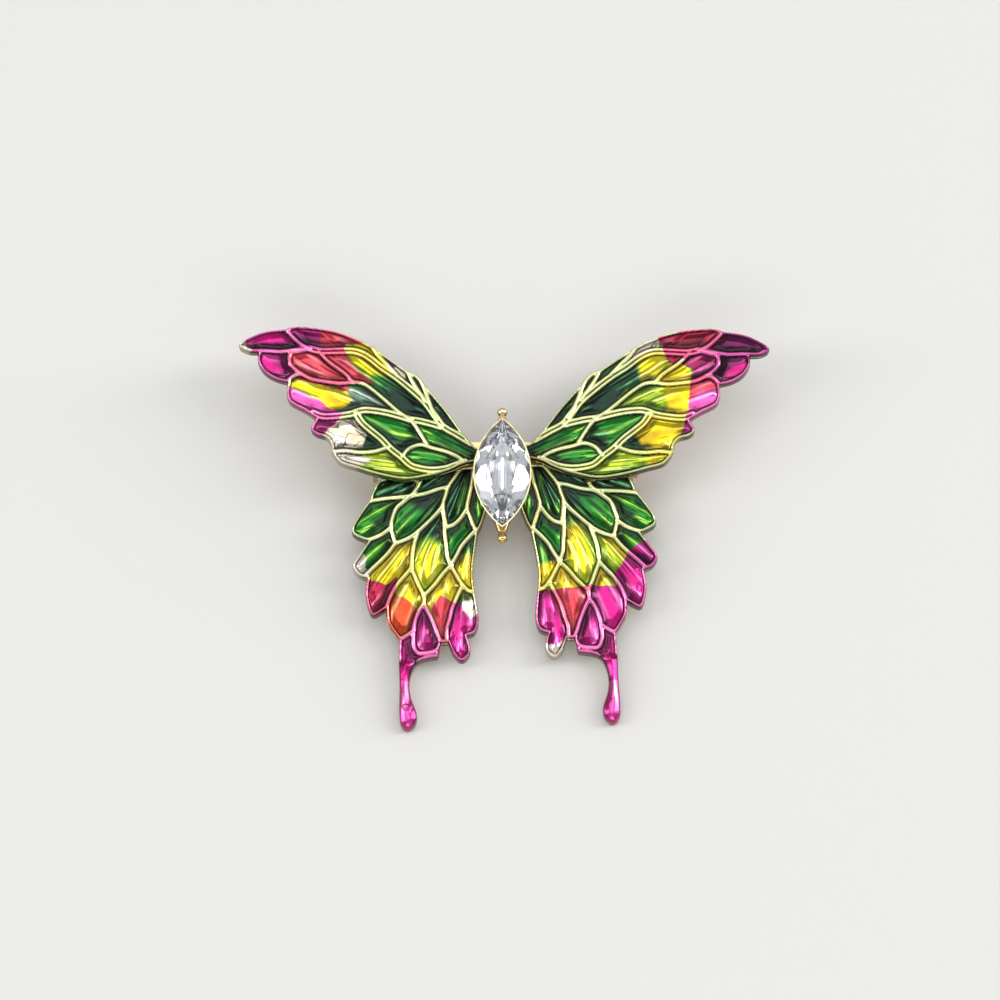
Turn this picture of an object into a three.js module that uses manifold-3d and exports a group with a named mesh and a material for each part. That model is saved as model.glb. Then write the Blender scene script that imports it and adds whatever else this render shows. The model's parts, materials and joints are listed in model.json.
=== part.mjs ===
// Butterfly brooch with one clear navette stone and a roller-catch pin, in millimetres.
// +X runs across the wings, +Y to the head and +Z out of the garment, towards the viewer.
// The brooch lies on its pin finding and its two tail tips, and z = 0 is the surface under it.
import * as THREE from "three";
import { mergeVertices } from "three/addons/utils/BufferGeometryUtils.js";
import Module from "manifold-3d";

// ---- Driving dimensions ------------------------------------------------------------------

const STONE_CENTRE_Y = 4.35; // the stone sits this far towards the head from the object's middle
const FIT_GAP = 0.05; // film of solder or adhesive between two pieces that touch

// The stone: a navette with a flat table and a keeled back.
const STONE_WIDTH = 5.3;
const STONE_LENGTH = 11.0;
const GIRDLE_THICKNESS = 0.25;
const CROWN_HEIGHT = 1.2;
const PAVILION_DEPTH = 1.85;
const TABLE_WIDTH = 2.9;
const TABLE_LENGTH = 6.8;
const KEEL_WIDTH = 0.3;
const KEEL_LENGTH = 3.0;
const FOIL_THICKNESS = 0.1;

// The setting: a bezel cup around the stone.
const BEZEL_WALL = 0.15;
const BEZEL_LIP = 0.2; // height of the rim above the girdle's lower edge
const CUP_FLOOR = 0.35;
const CUP_FOOT_SHARE = 0.62; // the cup narrows towards its foot to this share of its rim

// The pin finding: base bar, hinge, needle and roller catch.
const NEEDLE_HEIGHT = 1.5; // needle axis above the surface
const NEEDLE_RADIUS = 0.38;
const NEEDLE_TIP_LENGTH = 2.2;
const BAR_LENGTH = 27.0;
const BAR_WIDTH = 3.0;
const BAR_THICKNESS = 0.5;
const BAR_UNDERSIDE = 3.6;
const BAR_Y = 3.3;
const BAR_HOLE_RADIUS = 0.7;
const BAR_HOLE_X = 6.0;
const HINGE_X = -11.7;
const EAR_WIDTH = 2.4;
const EAR_THICKNESS = 0.4;
const EAR_GAP = 1.8; // between the two ears of the bracket
const EYE_RADIUS = 1.0;
const EYE_SIDE_CLEARANCE = 0.12;
const RIVET_RADIUS = 0.4;
const RIVET_CLEARANCE = 0.04;
const RIVET_HEAD_RADIUS = 0.75;
const RIVET_HEAD_HEIGHT = 0.35;
const CATCH_X = 12.0; // middle of the catch housing
const CATCH_LENGTH = 2.0;
const CATCH_HALF_WIDTH = 1.4;
const CATCH_NECK_HALF_WIDTH = 0.6;
const ROLLER_RADIUS = 1.0;
const ROLLER_BORE_RADIUS = 0.58;
const ROLLER_CLEARANCE = 0.06;
const SLOT_HALF_WIDTH = 0.52;
const FLANGE_RADIUS = 1.25;
const FLANGE_THICKNESS = 0.4;
const TAB_REACH = 2.0;
const TAB_HALF_WIDTH = 0.45;

// The thorax bar under the setting, with a bead at each end.
const THORAX_TOP = 5.9;
const THORAX_HALF_WIDTH = 1.15;
const THORAX_END_HALF_WIDTH = 0.36;
const HEAD_BEAD_Y = 7.5;
const HEAD_BEAD_RADIUS = 0.5;
const TAIL_BEAD_Y = -5.85;
const TAIL_BEAD_RADIUS = 0.5;
const BEAD_Z = 5.5;
const BEAD_STEM_RADIUS = 0.28;

// The wings: plate thickness, lacquer thickness, and the bare metal rim around the lacquer.
const COAT_THICKNESS = 0.14;
const RIM_WIDTH = 0.26;
const FORE_ROOT_TOP = 5.9;
const FORE_RISE = 0.06; // slope at the root, then the plate curls up towards its tip
const FORE_CURL = 0.0016;
const FORE_THICKNESS = 1.0;
const HIND_ROOT_TOP = 4.65;
const HIND_DROP = 0.145; // the hindwing falls towards its tail
const HIND_THICKNESS = 1.1;
const RELIEF_CLEARANCE = 0.2; // around the base bar, where it crosses a hindwing's back
const WING_ROOT_X = 2.0;
const RISER_X = 9.0; // solder risers between the base bar and the forewings
const RISER_RADIUS = 1.1;
const SEAM_X = 8.6; // solder seams between the hindwings and the forewings
const SEAM_Y = 0.8;
const SEAM_RADIUS = 0.6;

// How each pair of wings sits on the body: turned a little in its own plane and shifted.
const FORE_SETTING = { centre: [13.4, 8.3], turn: -0.95, shiftX: 0.1, lift: 0 };
const HIND_SETTING = { centre: [7.8, -10.9], turn: 1.79, shiftX: 0.39, lift: 0.28 };

// Outline of the right forewing, as runs of smooth curve that meet at corners. Each run starts
// where the one before it ends, and the last one closes on START.
const FORE_START = [1.5, 3.6];
const FORE_RUNS = [
  [[2.6, 3.8], [3.2, 4.3], [3.8, 5.0], [5.5, 7.4], [7.5, 9.8]],
  [[7.9, 10.4], [8.7, 11.2], [9.5, 11.5]],
  [[11.2, 12.7], [13.0, 13.9]],
  [[14.4, 14.6], [16.7, 15.4], [19.2, 15.7], [20.8, 15.7], [21.5, 15.4]],
  [[23.7, 15.0], [25.4, 14.2], [26.3, 13.5], [26.1, 13.0], [25.3, 12.7], [24.4, 12.7]],
  [[24.4, 11.7], [23.8, 10.7], [22.7, 10.0], [21.4, 9.7]],
  [[21.5, 8.6], [21.1, 7.6], [19.6, 6.8], [18.5, 6.1]],
  [[19.0, 5.0], [18.5, 4.4], [17.5, 4.1], [17.0, 3.5], [16.9, 2.6]],
  [[16.0, 1.5], [14.3, 1.0], [12.0, 0.4], [9.5, 0.1], [7.1, 0.6], [5.1, 1.3], [3.7, 2.0], [1.5, 2.5]],
  [[1.5, 3.6]],
];

// Outline of the right hindwing, from its root round by the outer edge to the tail and back.
const HIND_START = [1.5, 2.2];
const HIND_RUNS = [
  [[5.2, 2.0], [8.6, 1.6], [11.3, 1.3]],
  [[12.3, 0.9], [12.9, -0.1], [13.2, -0.9]],
  [[14.1, -2.1], [15.0, -3.5], [14.9, -4.4], [13.5, -5.1]],
  [[14.5, -6.5], [15.1, -7.5], [14.6, -8.4], [13.7, -8.8]],
  [[13.9, -10.6], [13.3, -12.5], [11.9, -11.9]],
  [[11.8, -13.2], [11.2, -14.3], [10.7, -15.0]],
  [[10.8, -16.8], [10.8, -19.6], [10.9, -21.8], [10.8, -23.3], [10.1, -23.9], [9.3, -23.3],
    [9.2, -22.3], [9.7, -20.8], [9.8, -19.3], [9.4, -17.9], [8.6, -17.1], [6.9, -16.8]],
  [[6.7, -16.0], [6.6, -15.4]],
  [[5.9, -15.4]],
  [[5.4, -16.6], [4.6, -17.3], [3.8, -16.7], [3.7, -15.8], [4.0, -14.8]],
  [[3.2, -14.5], [2.8, -13.5], [2.9, -11.8], [3.1, -10.5]],
  [[3.2, -8.5], [2.9, -6.3], [2.6, -4.6]],
  [[2.0, -3.3], [1.5, -1.3], [1.5, 2.2]],
];

// How finely the curves are cut into straight pieces.
const RUN_DIVISIONS = 2;
const NAVETTE_DIVISIONS = 12;
const ROUND_DIVISIONS = 24;
const BEAD_DIVISIONS = 16;
const PLATE_DIVISIONS = 16;

// ---- Derived heights ---------------------------------------------------------------------

const BAR_TOP = BAR_UNDERSIDE + BAR_THICKNESS;
const CUP_BASE = THORAX_TOP + FIT_GAP;
const KEEL_Z = CUP_BASE + CUP_FLOOR + FOIL_THICKNESS + 2 * FIT_GAP;
const GIRDLE_Z = KEEL_Z + PAVILION_DEPTH; // lower edge of the girdle

// ---- Solids ------------------------------------------------------------------------------

const wasm = await Module();
wasm.setup();

function solidOf(geometry) {
  const bare = geometry.clone();
  bare.deleteAttribute("normal");
  bare.deleteAttribute("uv");
  const merged = mergeVertices(bare, 1e-4);
  return new wasm.Manifold(new wasm.Mesh({
    numProp: 3,
    vertProperties: new Float32Array(merged.attributes.position.array),
    triVerts: new Uint32Array(merged.index.array),
  }));
}

function geometryOf(solid) {
  const mesh = solid.getMesh();
  const geometry = new THREE.BufferGeometry();
  geometry.setAttribute("position", new THREE.BufferAttribute(mesh.vertProperties, 3));
  geometry.setIndex(new THREE.BufferAttribute(mesh.triVerts, 1));
  geometry.computeVertexNormals();
  return geometry;
}

function box(x0, x1, y0, y1, z0, z1) {
  const geometry = new THREE.BoxGeometry(x1 - x0, y1 - y0, z1 - z0);
  return geometry.translate((x0 + x1) / 2, (y0 + y1) / 2, (z0 + z1) / 2);
}

// A cylinder whose axis lies along "x", "y" or "z".
function cylinder(radius, from, to, axis, divisions = ROUND_DIVISIONS) {
  const geometry = new THREE.CylinderGeometry(radius, radius, to - from, divisions);
  geometry.translate(0, (from + to) / 2, 0);
  if (axis === "x") geometry.rotateZ(-Math.PI / 2);
  if (axis === "z") geometry.rotateX(Math.PI / 2);
  return geometry;
}

function prism(points, z0, z1) {
  const geometry = new THREE.ExtrudeGeometry(new THREE.Shape(points), {
    depth: z1 - z0,
    bevelEnabled: false,
    curveSegments: ROUND_DIVISIONS,
  });
  return geometry.translate(0, 0, z0);
}

// A closed skin over rings of points that all have the same count, from the lowest ring up.
function loft(rings) {
  const count = rings[0].length;
  const positions = [];
  const put = (p) => positions.push(p.x, p.y, p.z);
  const middle = (ring) => ring.reduce((sum, p) => sum.add(p), new THREE.Vector3())
    .divideScalar(count);
  for (let r = 0; r + 1 < rings.length; r++) {
    for (let i = 0; i < count; i++) {
      const j = (i + 1) % count;
      [rings[r][i], rings[r][j], rings[r + 1][j]].forEach(put);
      [rings[r][i], rings[r + 1][j], rings[r + 1][i]].forEach(put);
    }
  }
  const bottom = middle(rings[0]);
  const top = middle(rings.at(-1));
  for (let i = 0; i < count; i++) {
    const j = (i + 1) % count;
    [bottom, rings[0][j], rings[0][i]].forEach(put);
    [top, rings.at(-1)[i], rings.at(-1)[j]].forEach(put);
  }
  const geometry = new THREE.BufferGeometry();
  geometry.setAttribute("position", new THREE.Float32BufferAttribute(positions, 3));
  return geometry;
}

// ---- Materials ---------------------------------------------------------------------------

function finish(color, roughness, metalness, extra = {}) {
  return new THREE.MeshStandardMaterial({ color, roughness, metalness, ...extra });
}
const palegold = () => finish(0xe8cf9a, 0.2, 1);
const steel = () => finish(0xc9c9cc, 0.25, 1);
const foreLacquer = () => finish(0x5f9a2c, 0.15, 0.4);
const hindLacquer = () => finish(0xb8b02a, 0.15, 0.4);

const brooch = new THREE.Group();
const body = new THREE.Group();
body.position.y = STONE_CENTRE_Y;
brooch.add(body);

function addPiece(name, geometry, material, group = body) {
  const mesh = new THREE.Mesh(geometry, material);
  mesh.name = name;
  group.add(mesh);
  return mesh;
}

// ---- Stone, foil and setting -------------------------------------------------------------

// Two arcs that meet in a point at each end, as a ring at height z.
function navette(width, length, z) {
  const half = width / 2;
  const reach = length / 2;
  const radius = (reach ** 2 + half ** 2) / (2 * half);
  const sweep = Math.asin(reach / radius);
  const ring = [];
  for (const side of [1, -1]) {
    for (let i = 0; i < NAVETTE_DIVISIONS; i++) {
      const angle = side * (-sweep + (2 * sweep * i) / NAVETTE_DIVISIONS);
      const x = side * (radius * Math.cos(angle) - (radius - half));
      ring.push(new THREE.Vector3(x, radius * Math.sin(angle), z));
    }
  }
  return ring;
}

function addStone() {
  addPiece("marquise_stone", loft([
    navette(KEEL_WIDTH, KEEL_LENGTH, KEEL_Z),
    navette(STONE_WIDTH, STONE_LENGTH, GIRDLE_Z),
    navette(STONE_WIDTH, STONE_LENGTH, GIRDLE_Z + GIRDLE_THICKNESS),
    navette(TABLE_WIDTH, TABLE_LENGTH, GIRDLE_Z + GIRDLE_THICKNESS + CROWN_HEIGHT),
  ]), finish(0xf2f5f8, 0.02, 0, { transparent: true, opacity: 0.5 }));
}

// Rings that follow the stone's back at a distance, from the keel up to the girdle.
function backRings(offset, topZ) {
  const grow = 2 * offset;
  return [
    navette(KEEL_WIDTH + grow, KEEL_LENGTH + grow, KEEL_Z - offset),
    navette(STONE_WIDTH + grow, STONE_LENGTH + grow, GIRDLE_Z),
    navette(STONE_WIDTH + grow, STONE_LENGTH + grow, topZ),
  ];
}

function addFoil() {
  const inner = FIT_GAP;
  const outer = FIT_GAP + FOIL_THICKNESS;
  const foilTop = GIRDLE_Z - FIT_GAP;
  const shell = solidOf(loft(backRings(outer, GIRDLE_Z + GIRDLE_THICKNESS)))
    .subtract(solidOf(loft(backRings(inner, GIRDLE_Z + 2 * GIRDLE_THICKNESS))))
    .intersect(solidOf(box(-STONE_WIDTH, STONE_WIDTH, -STONE_LENGTH, STONE_LENGTH, 0, foilTop)));
  addPiece("stone_foil", geometryOf(shell), finish(0xdfe3e6, 0.08, 1));
}

function addSetting() {
  const pocket = 2 * FIT_GAP + FOIL_THICKNESS;
  const rimZ = GIRDLE_Z + BEZEL_LIP;
  const width = STONE_WIDTH + 2 * (pocket + BEZEL_WALL);
  const length = STONE_LENGTH + 2 * (pocket + BEZEL_WALL);
  const cup = solidOf(loft([
    navette(width * CUP_FOOT_SHARE, length * CUP_FOOT_SHARE, CUP_BASE),
    navette(width, length, GIRDLE_Z - BEZEL_WALL),
    navette(width, length, rimZ),
  ]));
  const hollow = solidOf(loft(backRings(pocket, rimZ + 1)));
  addPiece("stone_setting", geometryOf(cup.subtract(hollow)), palegold());
}

// ---- Thorax bar and beads ----------------------------------------------------------------

function addThorax() {
  const headEnd = HEAD_BEAD_Y - HEAD_BEAD_RADIUS - FIT_GAP;
  const tailEnd = TAIL_BEAD_Y + TAIL_BEAD_RADIUS + FIT_GAP;
  const shoulder = 2.6; // from each end to where the bar is at its full width
  const half = THORAX_HALF_WIDTH;
  const end = THORAX_END_HALF_WIDTH;
  const side = [
    [end, tailEnd],
    [half, tailEnd + shoulder],
    [half, headEnd - shoulder],
    [end, headEnd],
  ];
  const outline = [...side, ...side.toReversed().map(([x, y]) => [-x, y])];
  const points = outline.map(([x, y]) => new THREE.Vector2(x, y));
  addPiece("thorax_bar", prism(points, BAR_TOP + FIT_GAP, THORAX_TOP), palegold());
}

// A bead with a short flat-ended stem that meets the end of the thorax bar.
function addBead(name, y, radius, towards) {
  const stemEnd = radius - FIT_GAP / 4;
  const profile = [new THREE.Vector2(0, -stemEnd), new THREE.Vector2(BEAD_STEM_RADIUS, -stemEnd)];
  const start = Math.asin(BEAD_STEM_RADIUS / radius);
  const steps = BEAD_DIVISIONS / 2;
  for (let i = 1; i < steps; i++) {
    const angle = start + ((Math.PI - start) * i) / steps;
    profile.push(new THREE.Vector2(radius * Math.sin(angle), -radius * Math.cos(angle)));
  }
  profile.push(new THREE.Vector2(0, radius));
  const bead = addPiece(name, new THREE.LatheGeometry(profile, BEAD_DIVISIONS), palegold());
  if (towards > 0) bead.rotation.z = Math.PI;
  bead.position.set(0, y, BEAD_Z);
}

// ---- Wings -------------------------------------------------------------------------------

function smoothOutline(start, runs) {
  const points = [];
  let last = new THREE.Vector2(...start);
  for (const run of runs) {
    const knots = [last, ...run.map(([x, y]) => new THREE.Vector2(x, y))];
    const steps = knots.length > 2 ? (knots.length - 1) * RUN_DIVISIONS : 1;
    points.push(...new THREE.SplineCurve(knots).getPoints(steps).slice(0, -1));
    last = knots.at(-1);
  }
  return THREE.ShapeUtils.isClockWise(points) ? points.reverse() : points;
}

// The outline moved inwards by a distance, corner by corner.
function insetOutline(points, distance) {
  const count = points.length;
  return points.map((point, i) => {
    const before = point.clone().sub(points[(i + count - 1) % count]).normalize();
    const after = points[(i + 1) % count].clone().sub(point).normalize();
    const along = before.clone().add(after).normalize();
    const stretch = Math.min(1 / Math.max(along.dot(after), 0.5), 2);
    const inward = new THREE.Vector2(-along.y, along.x);
    return point.clone().addScaledVector(inward, distance * stretch);
  });
}

function foreHeight(x) {
  const span = Math.max(Math.abs(x) - WING_ROOT_X, 0);
  return FORE_ROOT_TOP + FORE_RISE * span + FORE_CURL * span ** 2;
}

function hindHeight(x, y) {
  return HIND_ROOT_TOP + HIND_DROP * Math.min(y, 0);
}

// A plate between two heights under the wing's surface, cut to an outline.
function plate(outline, height, top, bottom) {
  const bounds = new THREE.Box2().setFromPoints(outline).expandByScalar(1);
  const size = bounds.getSize(new THREE.Vector2());
  const centre = bounds.getCenter(new THREE.Vector2());
  const slab = new THREE.BoxGeometry(size.x, size.y, 1, PLATE_DIVISIONS, PLATE_DIVISIONS, 1);
  slab.translate(centre.x, centre.y, 0);
  const position = slab.attributes.position;
  for (let i = 0; i < position.count; i++) {
    const depth = position.getZ(i) > 0 ? top : bottom;
    position.setZ(i, height(position.getX(i), position.getY(i)) - depth);
  }
  const reach = FORE_ROOT_TOP + STONE_LENGTH;
  return solidOf(slab).intersect(solidOf(prism(outline, -reach, 2 * reach)));
}

// The hindwing's back is relieved where the base bar crosses it, with room for its turn and lift.
function barRelief() {
  const turn = THREE.MathUtils.degToRad(HIND_SETTING.turn);
  const room = RELIEF_CLEARANCE + HIND_SETTING.lift + (Math.abs(Math.sin(turn)) * BAR_LENGTH) / 2;
  const reach = BAR_LENGTH / 2 + room;
  const low = BAR_UNDERSIDE - HIND_THICKNESS;
  return solidOf(box(-reach, reach, BAR_Y - BAR_WIDTH / 2 - room, BAR_Y + BAR_WIDTH, low,
    BAR_TOP + FIT_GAP));
}

function addWing(side, pair, setting, outline, height, thickness, lacquer, relief) {
  const wing = new THREE.Group();
  const [cx, cy] = setting.centre;
  wing.position.set(side * cx + setting.shiftX, cy + side * setting.lift, 0);
  wing.rotation.z = THREE.MathUtils.degToRad(setting.turn);
  body.add(wing);
  const word = side > 0 ? "right" : "left";
  const bareTop = COAT_THICKNESS + FIT_GAP / 2;
  let casting = plate(outline, height, bareTop, thickness);
  if (relief) casting = casting.subtract(relief);
  const coat = plate(insetOutline(outline, RIM_WIDTH), height, 0, COAT_THICKNESS);
  const pieces = [
    addPiece(`${word}_${pair}_casting`, geometryOf(casting), palegold(), wing),
    addPiece(`${word}_${pair}_enamel`, geometryOf(coat), lacquer(), wing),
  ];
  for (const piece of pieces) {
    piece.scale.x = side;
    piece.position.set(-side * cx, -cy, 0);
  }
}

function addWings() {
  const fore = smoothOutline(FORE_START, FORE_RUNS);
  const hind = smoothOutline(HIND_START, HIND_RUNS);
  const relief = barRelief();
  for (const side of [-1, 1]) {
    addWing(side, "forewing", FORE_SETTING, fore, foreHeight, FORE_THICKNESS, foreLacquer);
    addWing(side, "hindwing", HIND_SETTING, hind, hindHeight, HIND_THICKNESS, hindLacquer, relief);
  }
}

// Drops of solder: risers from the base bar to the forewings, and seams between the wings.
function addSolder() {
  for (const side of [-1, 1]) {
    const word = side > 0 ? "right" : "left";
    const under = (x) => foreHeight(x) - FORE_THICKNESS - 2 * FIT_GAP;
    const riserTop = under(RISER_X - RISER_RADIUS);
    const riser = new THREE.CylinderGeometry(RISER_RADIUS * 0.8, RISER_RADIUS,
      riserTop - BAR_TOP - FIT_GAP, ROUND_DIVISIONS);
    riser.rotateX(Math.PI / 2);
    riser.translate(side * RISER_X, BAR_Y, (riserTop + BAR_TOP + FIT_GAP) / 2);
    addPiece(`${word}_riser_solder`, riser, palegold());
    const seam = cylinder(SEAM_RADIUS, HIND_ROOT_TOP + FIT_GAP, under(SEAM_X - SEAM_RADIUS), "z");
    seam.translate(side * SEAM_X, SEAM_Y, 0);
    addPiece(`${word}_seam_solder`, seam, palegold());
  }
}

// ---- Pin finding -------------------------------------------------------------------------

function addBaseBar() {
  const half = BAR_WIDTH / 2;
  const straight = BAR_LENGTH / 2 - half;
  const shape = new THREE.Shape();
  shape.absarc(straight, BAR_Y, half, -Math.PI / 2, Math.PI / 2);
  shape.absarc(-straight, BAR_Y, half, Math.PI / 2, (3 * Math.PI) / 2);
  for (const side of [-1, 1]) {
    const hole = new THREE.Path();
    hole.absarc(side * BAR_HOLE_X, BAR_Y, BAR_HOLE_RADIUS, 0, 2 * Math.PI);
    shape.holes.push(hole);
  }
  const options = { depth: BAR_THICKNESS, bevelEnabled: false, curveSegments: 10 };
  const bar = new THREE.ExtrudeGeometry(shape, options).translate(0, 0, BAR_UNDERSIDE);
  addPiece("pin_base_bar", bar, palegold());
}

// A bracket with two ears that stand on the surface and carry the rivet.
function addHingeBracket() {
  const x0 = HINGE_X - EAR_WIDTH / 2;
  const x1 = HINGE_X + EAR_WIDTH / 2;
  const outer = EAR_GAP / 2 + EAR_THICKNESS;
  const top = BAR_UNDERSIDE - FIT_GAP;
  const bore = RIVET_RADIUS + RIVET_CLEARANCE;
  const block = solidOf(box(x0, x1, BAR_Y - outer, BAR_Y + outer, 0, top));
  const channel = solidOf(box(x0 - 1, x1 + 1, BAR_Y - EAR_GAP / 2, BAR_Y + EAR_GAP / 2, -1,
    top - EAR_THICKNESS));
  const hole = solidOf(cylinder(bore, -2 * outer, 2 * outer, "y")
    .translate(HINGE_X, BAR_Y, NEEDLE_HEIGHT));
  addPiece("hinge_bracket", geometryOf(block.subtract(channel).subtract(hole)), palegold());
}

function addHingeRivet() {
  const reach = EAR_GAP / 2 + EAR_THICKNESS + FIT_GAP;
  const head = reach + RIVET_HEAD_HEIGHT;
  const rivet = solidOf(cylinder(RIVET_RADIUS, -head, head, "y"))
    .add(solidOf(cylinder(RIVET_HEAD_RADIUS, reach, head, "y")))
    .add(solidOf(cylinder(RIVET_HEAD_RADIUS, -head, -reach, "y")));
  addPiece("hinge_rivet", geometryOf(rivet), steel())
    .position.set(HINGE_X, BAR_Y, NEEDLE_HEIGHT);
}

// A wire with an eye at the hinge and a ground point that lies inside the catch.
function addNeedle() {
  const halfEye = EAR_GAP / 2 - EYE_SIDE_CLEARANCE;
  const tip = CATCH_X + CATCH_LENGTH / 2 + FLANGE_THICKNESS - HINGE_X;
  const wire = new THREE.LatheGeometry([
    [0, EYE_RADIUS * 0.7],
    [NEEDLE_RADIUS, EYE_RADIUS * 0.7],
    [NEEDLE_RADIUS, tip - NEEDLE_TIP_LENGTH],
    [NEEDLE_RADIUS * 0.6, tip - NEEDLE_TIP_LENGTH * 0.4],
    [0, tip],
  ].map(([r, h]) => new THREE.Vector2(r, h)), BEAD_DIVISIONS).rotateZ(-Math.PI / 2);
  const needle = solidOf(cylinder(EYE_RADIUS, -halfEye, halfEye, "y"))
    .add(solidOf(wire))
    .subtract(solidOf(cylinder(RIVET_RADIUS + RIVET_CLEARANCE, -2, 2, "y")));
  addPiece("pin_needle", geometryOf(needle), steel())
    .position.set(HINGE_X, BAR_Y, NEEDLE_HEIGHT);
}

// The catch housing: a block with a bore for the roller, open downwards to let the needle in.
function addCatchHousing() {
  const from = CATCH_X - CATCH_LENGTH / 2;
  const to = CATCH_X + CATCH_LENGTH / 2;
  const bore = ROLLER_RADIUS + ROLLER_CLEARANCE;
  const half = CATCH_HALF_WIDTH;
  const neck = CATCH_NECK_HALF_WIDTH;
  const housing = solidOf(box(from, to, -half, half, 0, NEEDLE_HEIGHT))
    .add(solidOf(cylinder(half, from, to, "x").translate(0, 0, NEEDLE_HEIGHT)))
    .add(solidOf(box(from, to, -neck, neck, NEEDLE_HEIGHT, BAR_UNDERSIDE - FIT_GAP)))
    .subtract(solidOf(cylinder(bore, from - 1, to + 1, "x").translate(0, 0, NEEDLE_HEIGHT)))
    .subtract(solidOf(box(from - 1, to + 1, -SLOT_HALF_WIDTH, SLOT_HALF_WIDTH, -1,
      NEEDLE_HEIGHT)));
  addPiece("catch_housing", geometryOf(housing), palegold()).position.y = BAR_Y;
}

// The roller: a slotted tube with a flange inside and a thumb tab outside the housing.
function addCatchRoller() {
  const half = CATCH_LENGTH / 2 + ROLLER_CLEARANCE;
  const end = half + FLANGE_THICKNESS;
  const far = 2 * TAB_REACH;
  const roller = solidOf(cylinder(ROLLER_RADIUS, -end, end, "x"))
    .add(solidOf(cylinder(FLANGE_RADIUS, half, end, "x")))
    .add(solidOf(cylinder(FLANGE_RADIUS, -end, -half, "x")))
    .add(solidOf(box(half, end, 0, TAB_REACH, -TAB_HALF_WIDTH, TAB_HALF_WIDTH)))
    .subtract(solidOf(cylinder(ROLLER_BORE_RADIUS, -far, far, "x")))
    .subtract(solidOf(box(-far, far, -SLOT_HALF_WIDTH, SLOT_HALF_WIDTH, -far, 0)));
  addPiece("catch_roller", geometryOf(roller), palegold())
    .position.set(CATCH_X, BAR_Y, NEEDLE_HEIGHT);
}

addWings();
addSolder();
addThorax();
addBead("head_bead", HEAD_BEAD_Y, HEAD_BEAD_RADIUS, -1);
addBead("tail_bead", TAIL_BEAD_Y, TAIL_BEAD_RADIUS, 1);
addSetting();
addFoil();
addStone();
addBaseBar();
addHingeBracket();
addHingeRivet();
addNeedle();
addCatchHousing();
addCatchRoller();

export default brooch;
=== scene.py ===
# %% [markdown]
# # A butterfly brooch with a navette stone
# The brooch is a small assembly: four cast wings, each under a skin of coloured lacquer, a clear
# stone in a cup between them, and a pin finding on the back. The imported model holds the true
# sizes and the two hinges. This script loads it and builds the fine surfaces around it.

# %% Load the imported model
import json
import math

import bpy
import numpy as np
from mathutils import Matrix, Vector

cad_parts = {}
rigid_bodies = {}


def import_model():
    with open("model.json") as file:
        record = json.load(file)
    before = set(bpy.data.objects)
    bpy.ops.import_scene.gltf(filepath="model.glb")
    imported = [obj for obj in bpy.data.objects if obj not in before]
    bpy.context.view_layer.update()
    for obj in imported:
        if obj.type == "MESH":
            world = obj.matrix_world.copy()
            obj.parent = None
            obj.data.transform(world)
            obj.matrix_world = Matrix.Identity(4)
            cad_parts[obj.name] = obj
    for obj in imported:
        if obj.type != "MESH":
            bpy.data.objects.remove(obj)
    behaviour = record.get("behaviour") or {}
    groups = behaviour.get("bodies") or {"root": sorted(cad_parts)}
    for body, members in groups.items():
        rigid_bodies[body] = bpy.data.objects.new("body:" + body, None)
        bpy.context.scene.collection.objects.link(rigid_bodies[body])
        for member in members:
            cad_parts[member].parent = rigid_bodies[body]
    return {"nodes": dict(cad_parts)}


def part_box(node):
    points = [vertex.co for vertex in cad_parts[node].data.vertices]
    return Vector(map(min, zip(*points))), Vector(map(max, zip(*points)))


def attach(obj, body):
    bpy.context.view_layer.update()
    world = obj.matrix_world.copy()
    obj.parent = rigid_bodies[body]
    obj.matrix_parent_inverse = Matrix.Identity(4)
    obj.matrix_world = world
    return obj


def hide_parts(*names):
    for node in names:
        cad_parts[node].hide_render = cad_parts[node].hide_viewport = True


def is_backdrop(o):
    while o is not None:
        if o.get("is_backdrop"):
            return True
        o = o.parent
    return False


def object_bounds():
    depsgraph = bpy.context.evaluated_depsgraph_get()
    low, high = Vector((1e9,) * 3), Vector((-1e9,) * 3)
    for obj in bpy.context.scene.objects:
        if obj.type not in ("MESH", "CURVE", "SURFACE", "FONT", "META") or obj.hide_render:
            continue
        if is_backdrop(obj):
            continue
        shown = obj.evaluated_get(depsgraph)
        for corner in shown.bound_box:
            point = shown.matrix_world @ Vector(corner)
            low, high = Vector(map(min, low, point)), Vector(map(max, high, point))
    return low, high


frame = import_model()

cad_low, cad_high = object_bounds()
cad_size = cad_high - cad_low
print("packed nodes:", len(frame["nodes"]), "box in mm:", [round(v * 1000, 1) for v in cad_size])

# %% [markdown]
# ## Working in millimetres
# A brooch is so small that metres are awkward: most tools have limits and defaults meant for
# furniture. So each piece is modelled in millimetres around the stone's centre, and its mesh is
# brought to metres and to its place as the last step. The stone's centre comes from the frame.

# %% Units and the stone's place
MM = 0.001
stone_low, stone_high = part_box("marquise_stone")
STONE_Y = (stone_low.y + stone_high.y) / 2 / MM
TO_FRAME = Matrix.Scale(MM, 4) @ Matrix.Translation((0, STONE_Y, 0))


def node_box(node):
    """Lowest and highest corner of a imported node, in millimetres around the stone's centre."""
    low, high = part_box(node)
    shift = Vector((0, STONE_Y, 0))
    return low / MM - shift, high / MM - shift


print("stone centre is", round(STONE_Y, 2), "mm from the middle of the brooch")

# %% [markdown]
# ## Small helpers for modelling by hand
# Operators act on whatever is selected, so each step first clears the selection. The helpers
# below add a primitive, pick its faces, edges or vertices by a test, cut along a plane, and
# apply modifiers.

# %% Helpers
def deselect_all():
    if bpy.context.object and bpy.context.object.mode != "OBJECT":
        bpy.ops.object.mode_set(mode="OBJECT")
    for piece in list(bpy.context.view_layer.objects.selected):
        piece.select_set(False)


def activate(piece):
    deselect_all()
    piece.select_set(True)
    bpy.context.view_layer.objects.active = piece


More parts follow.
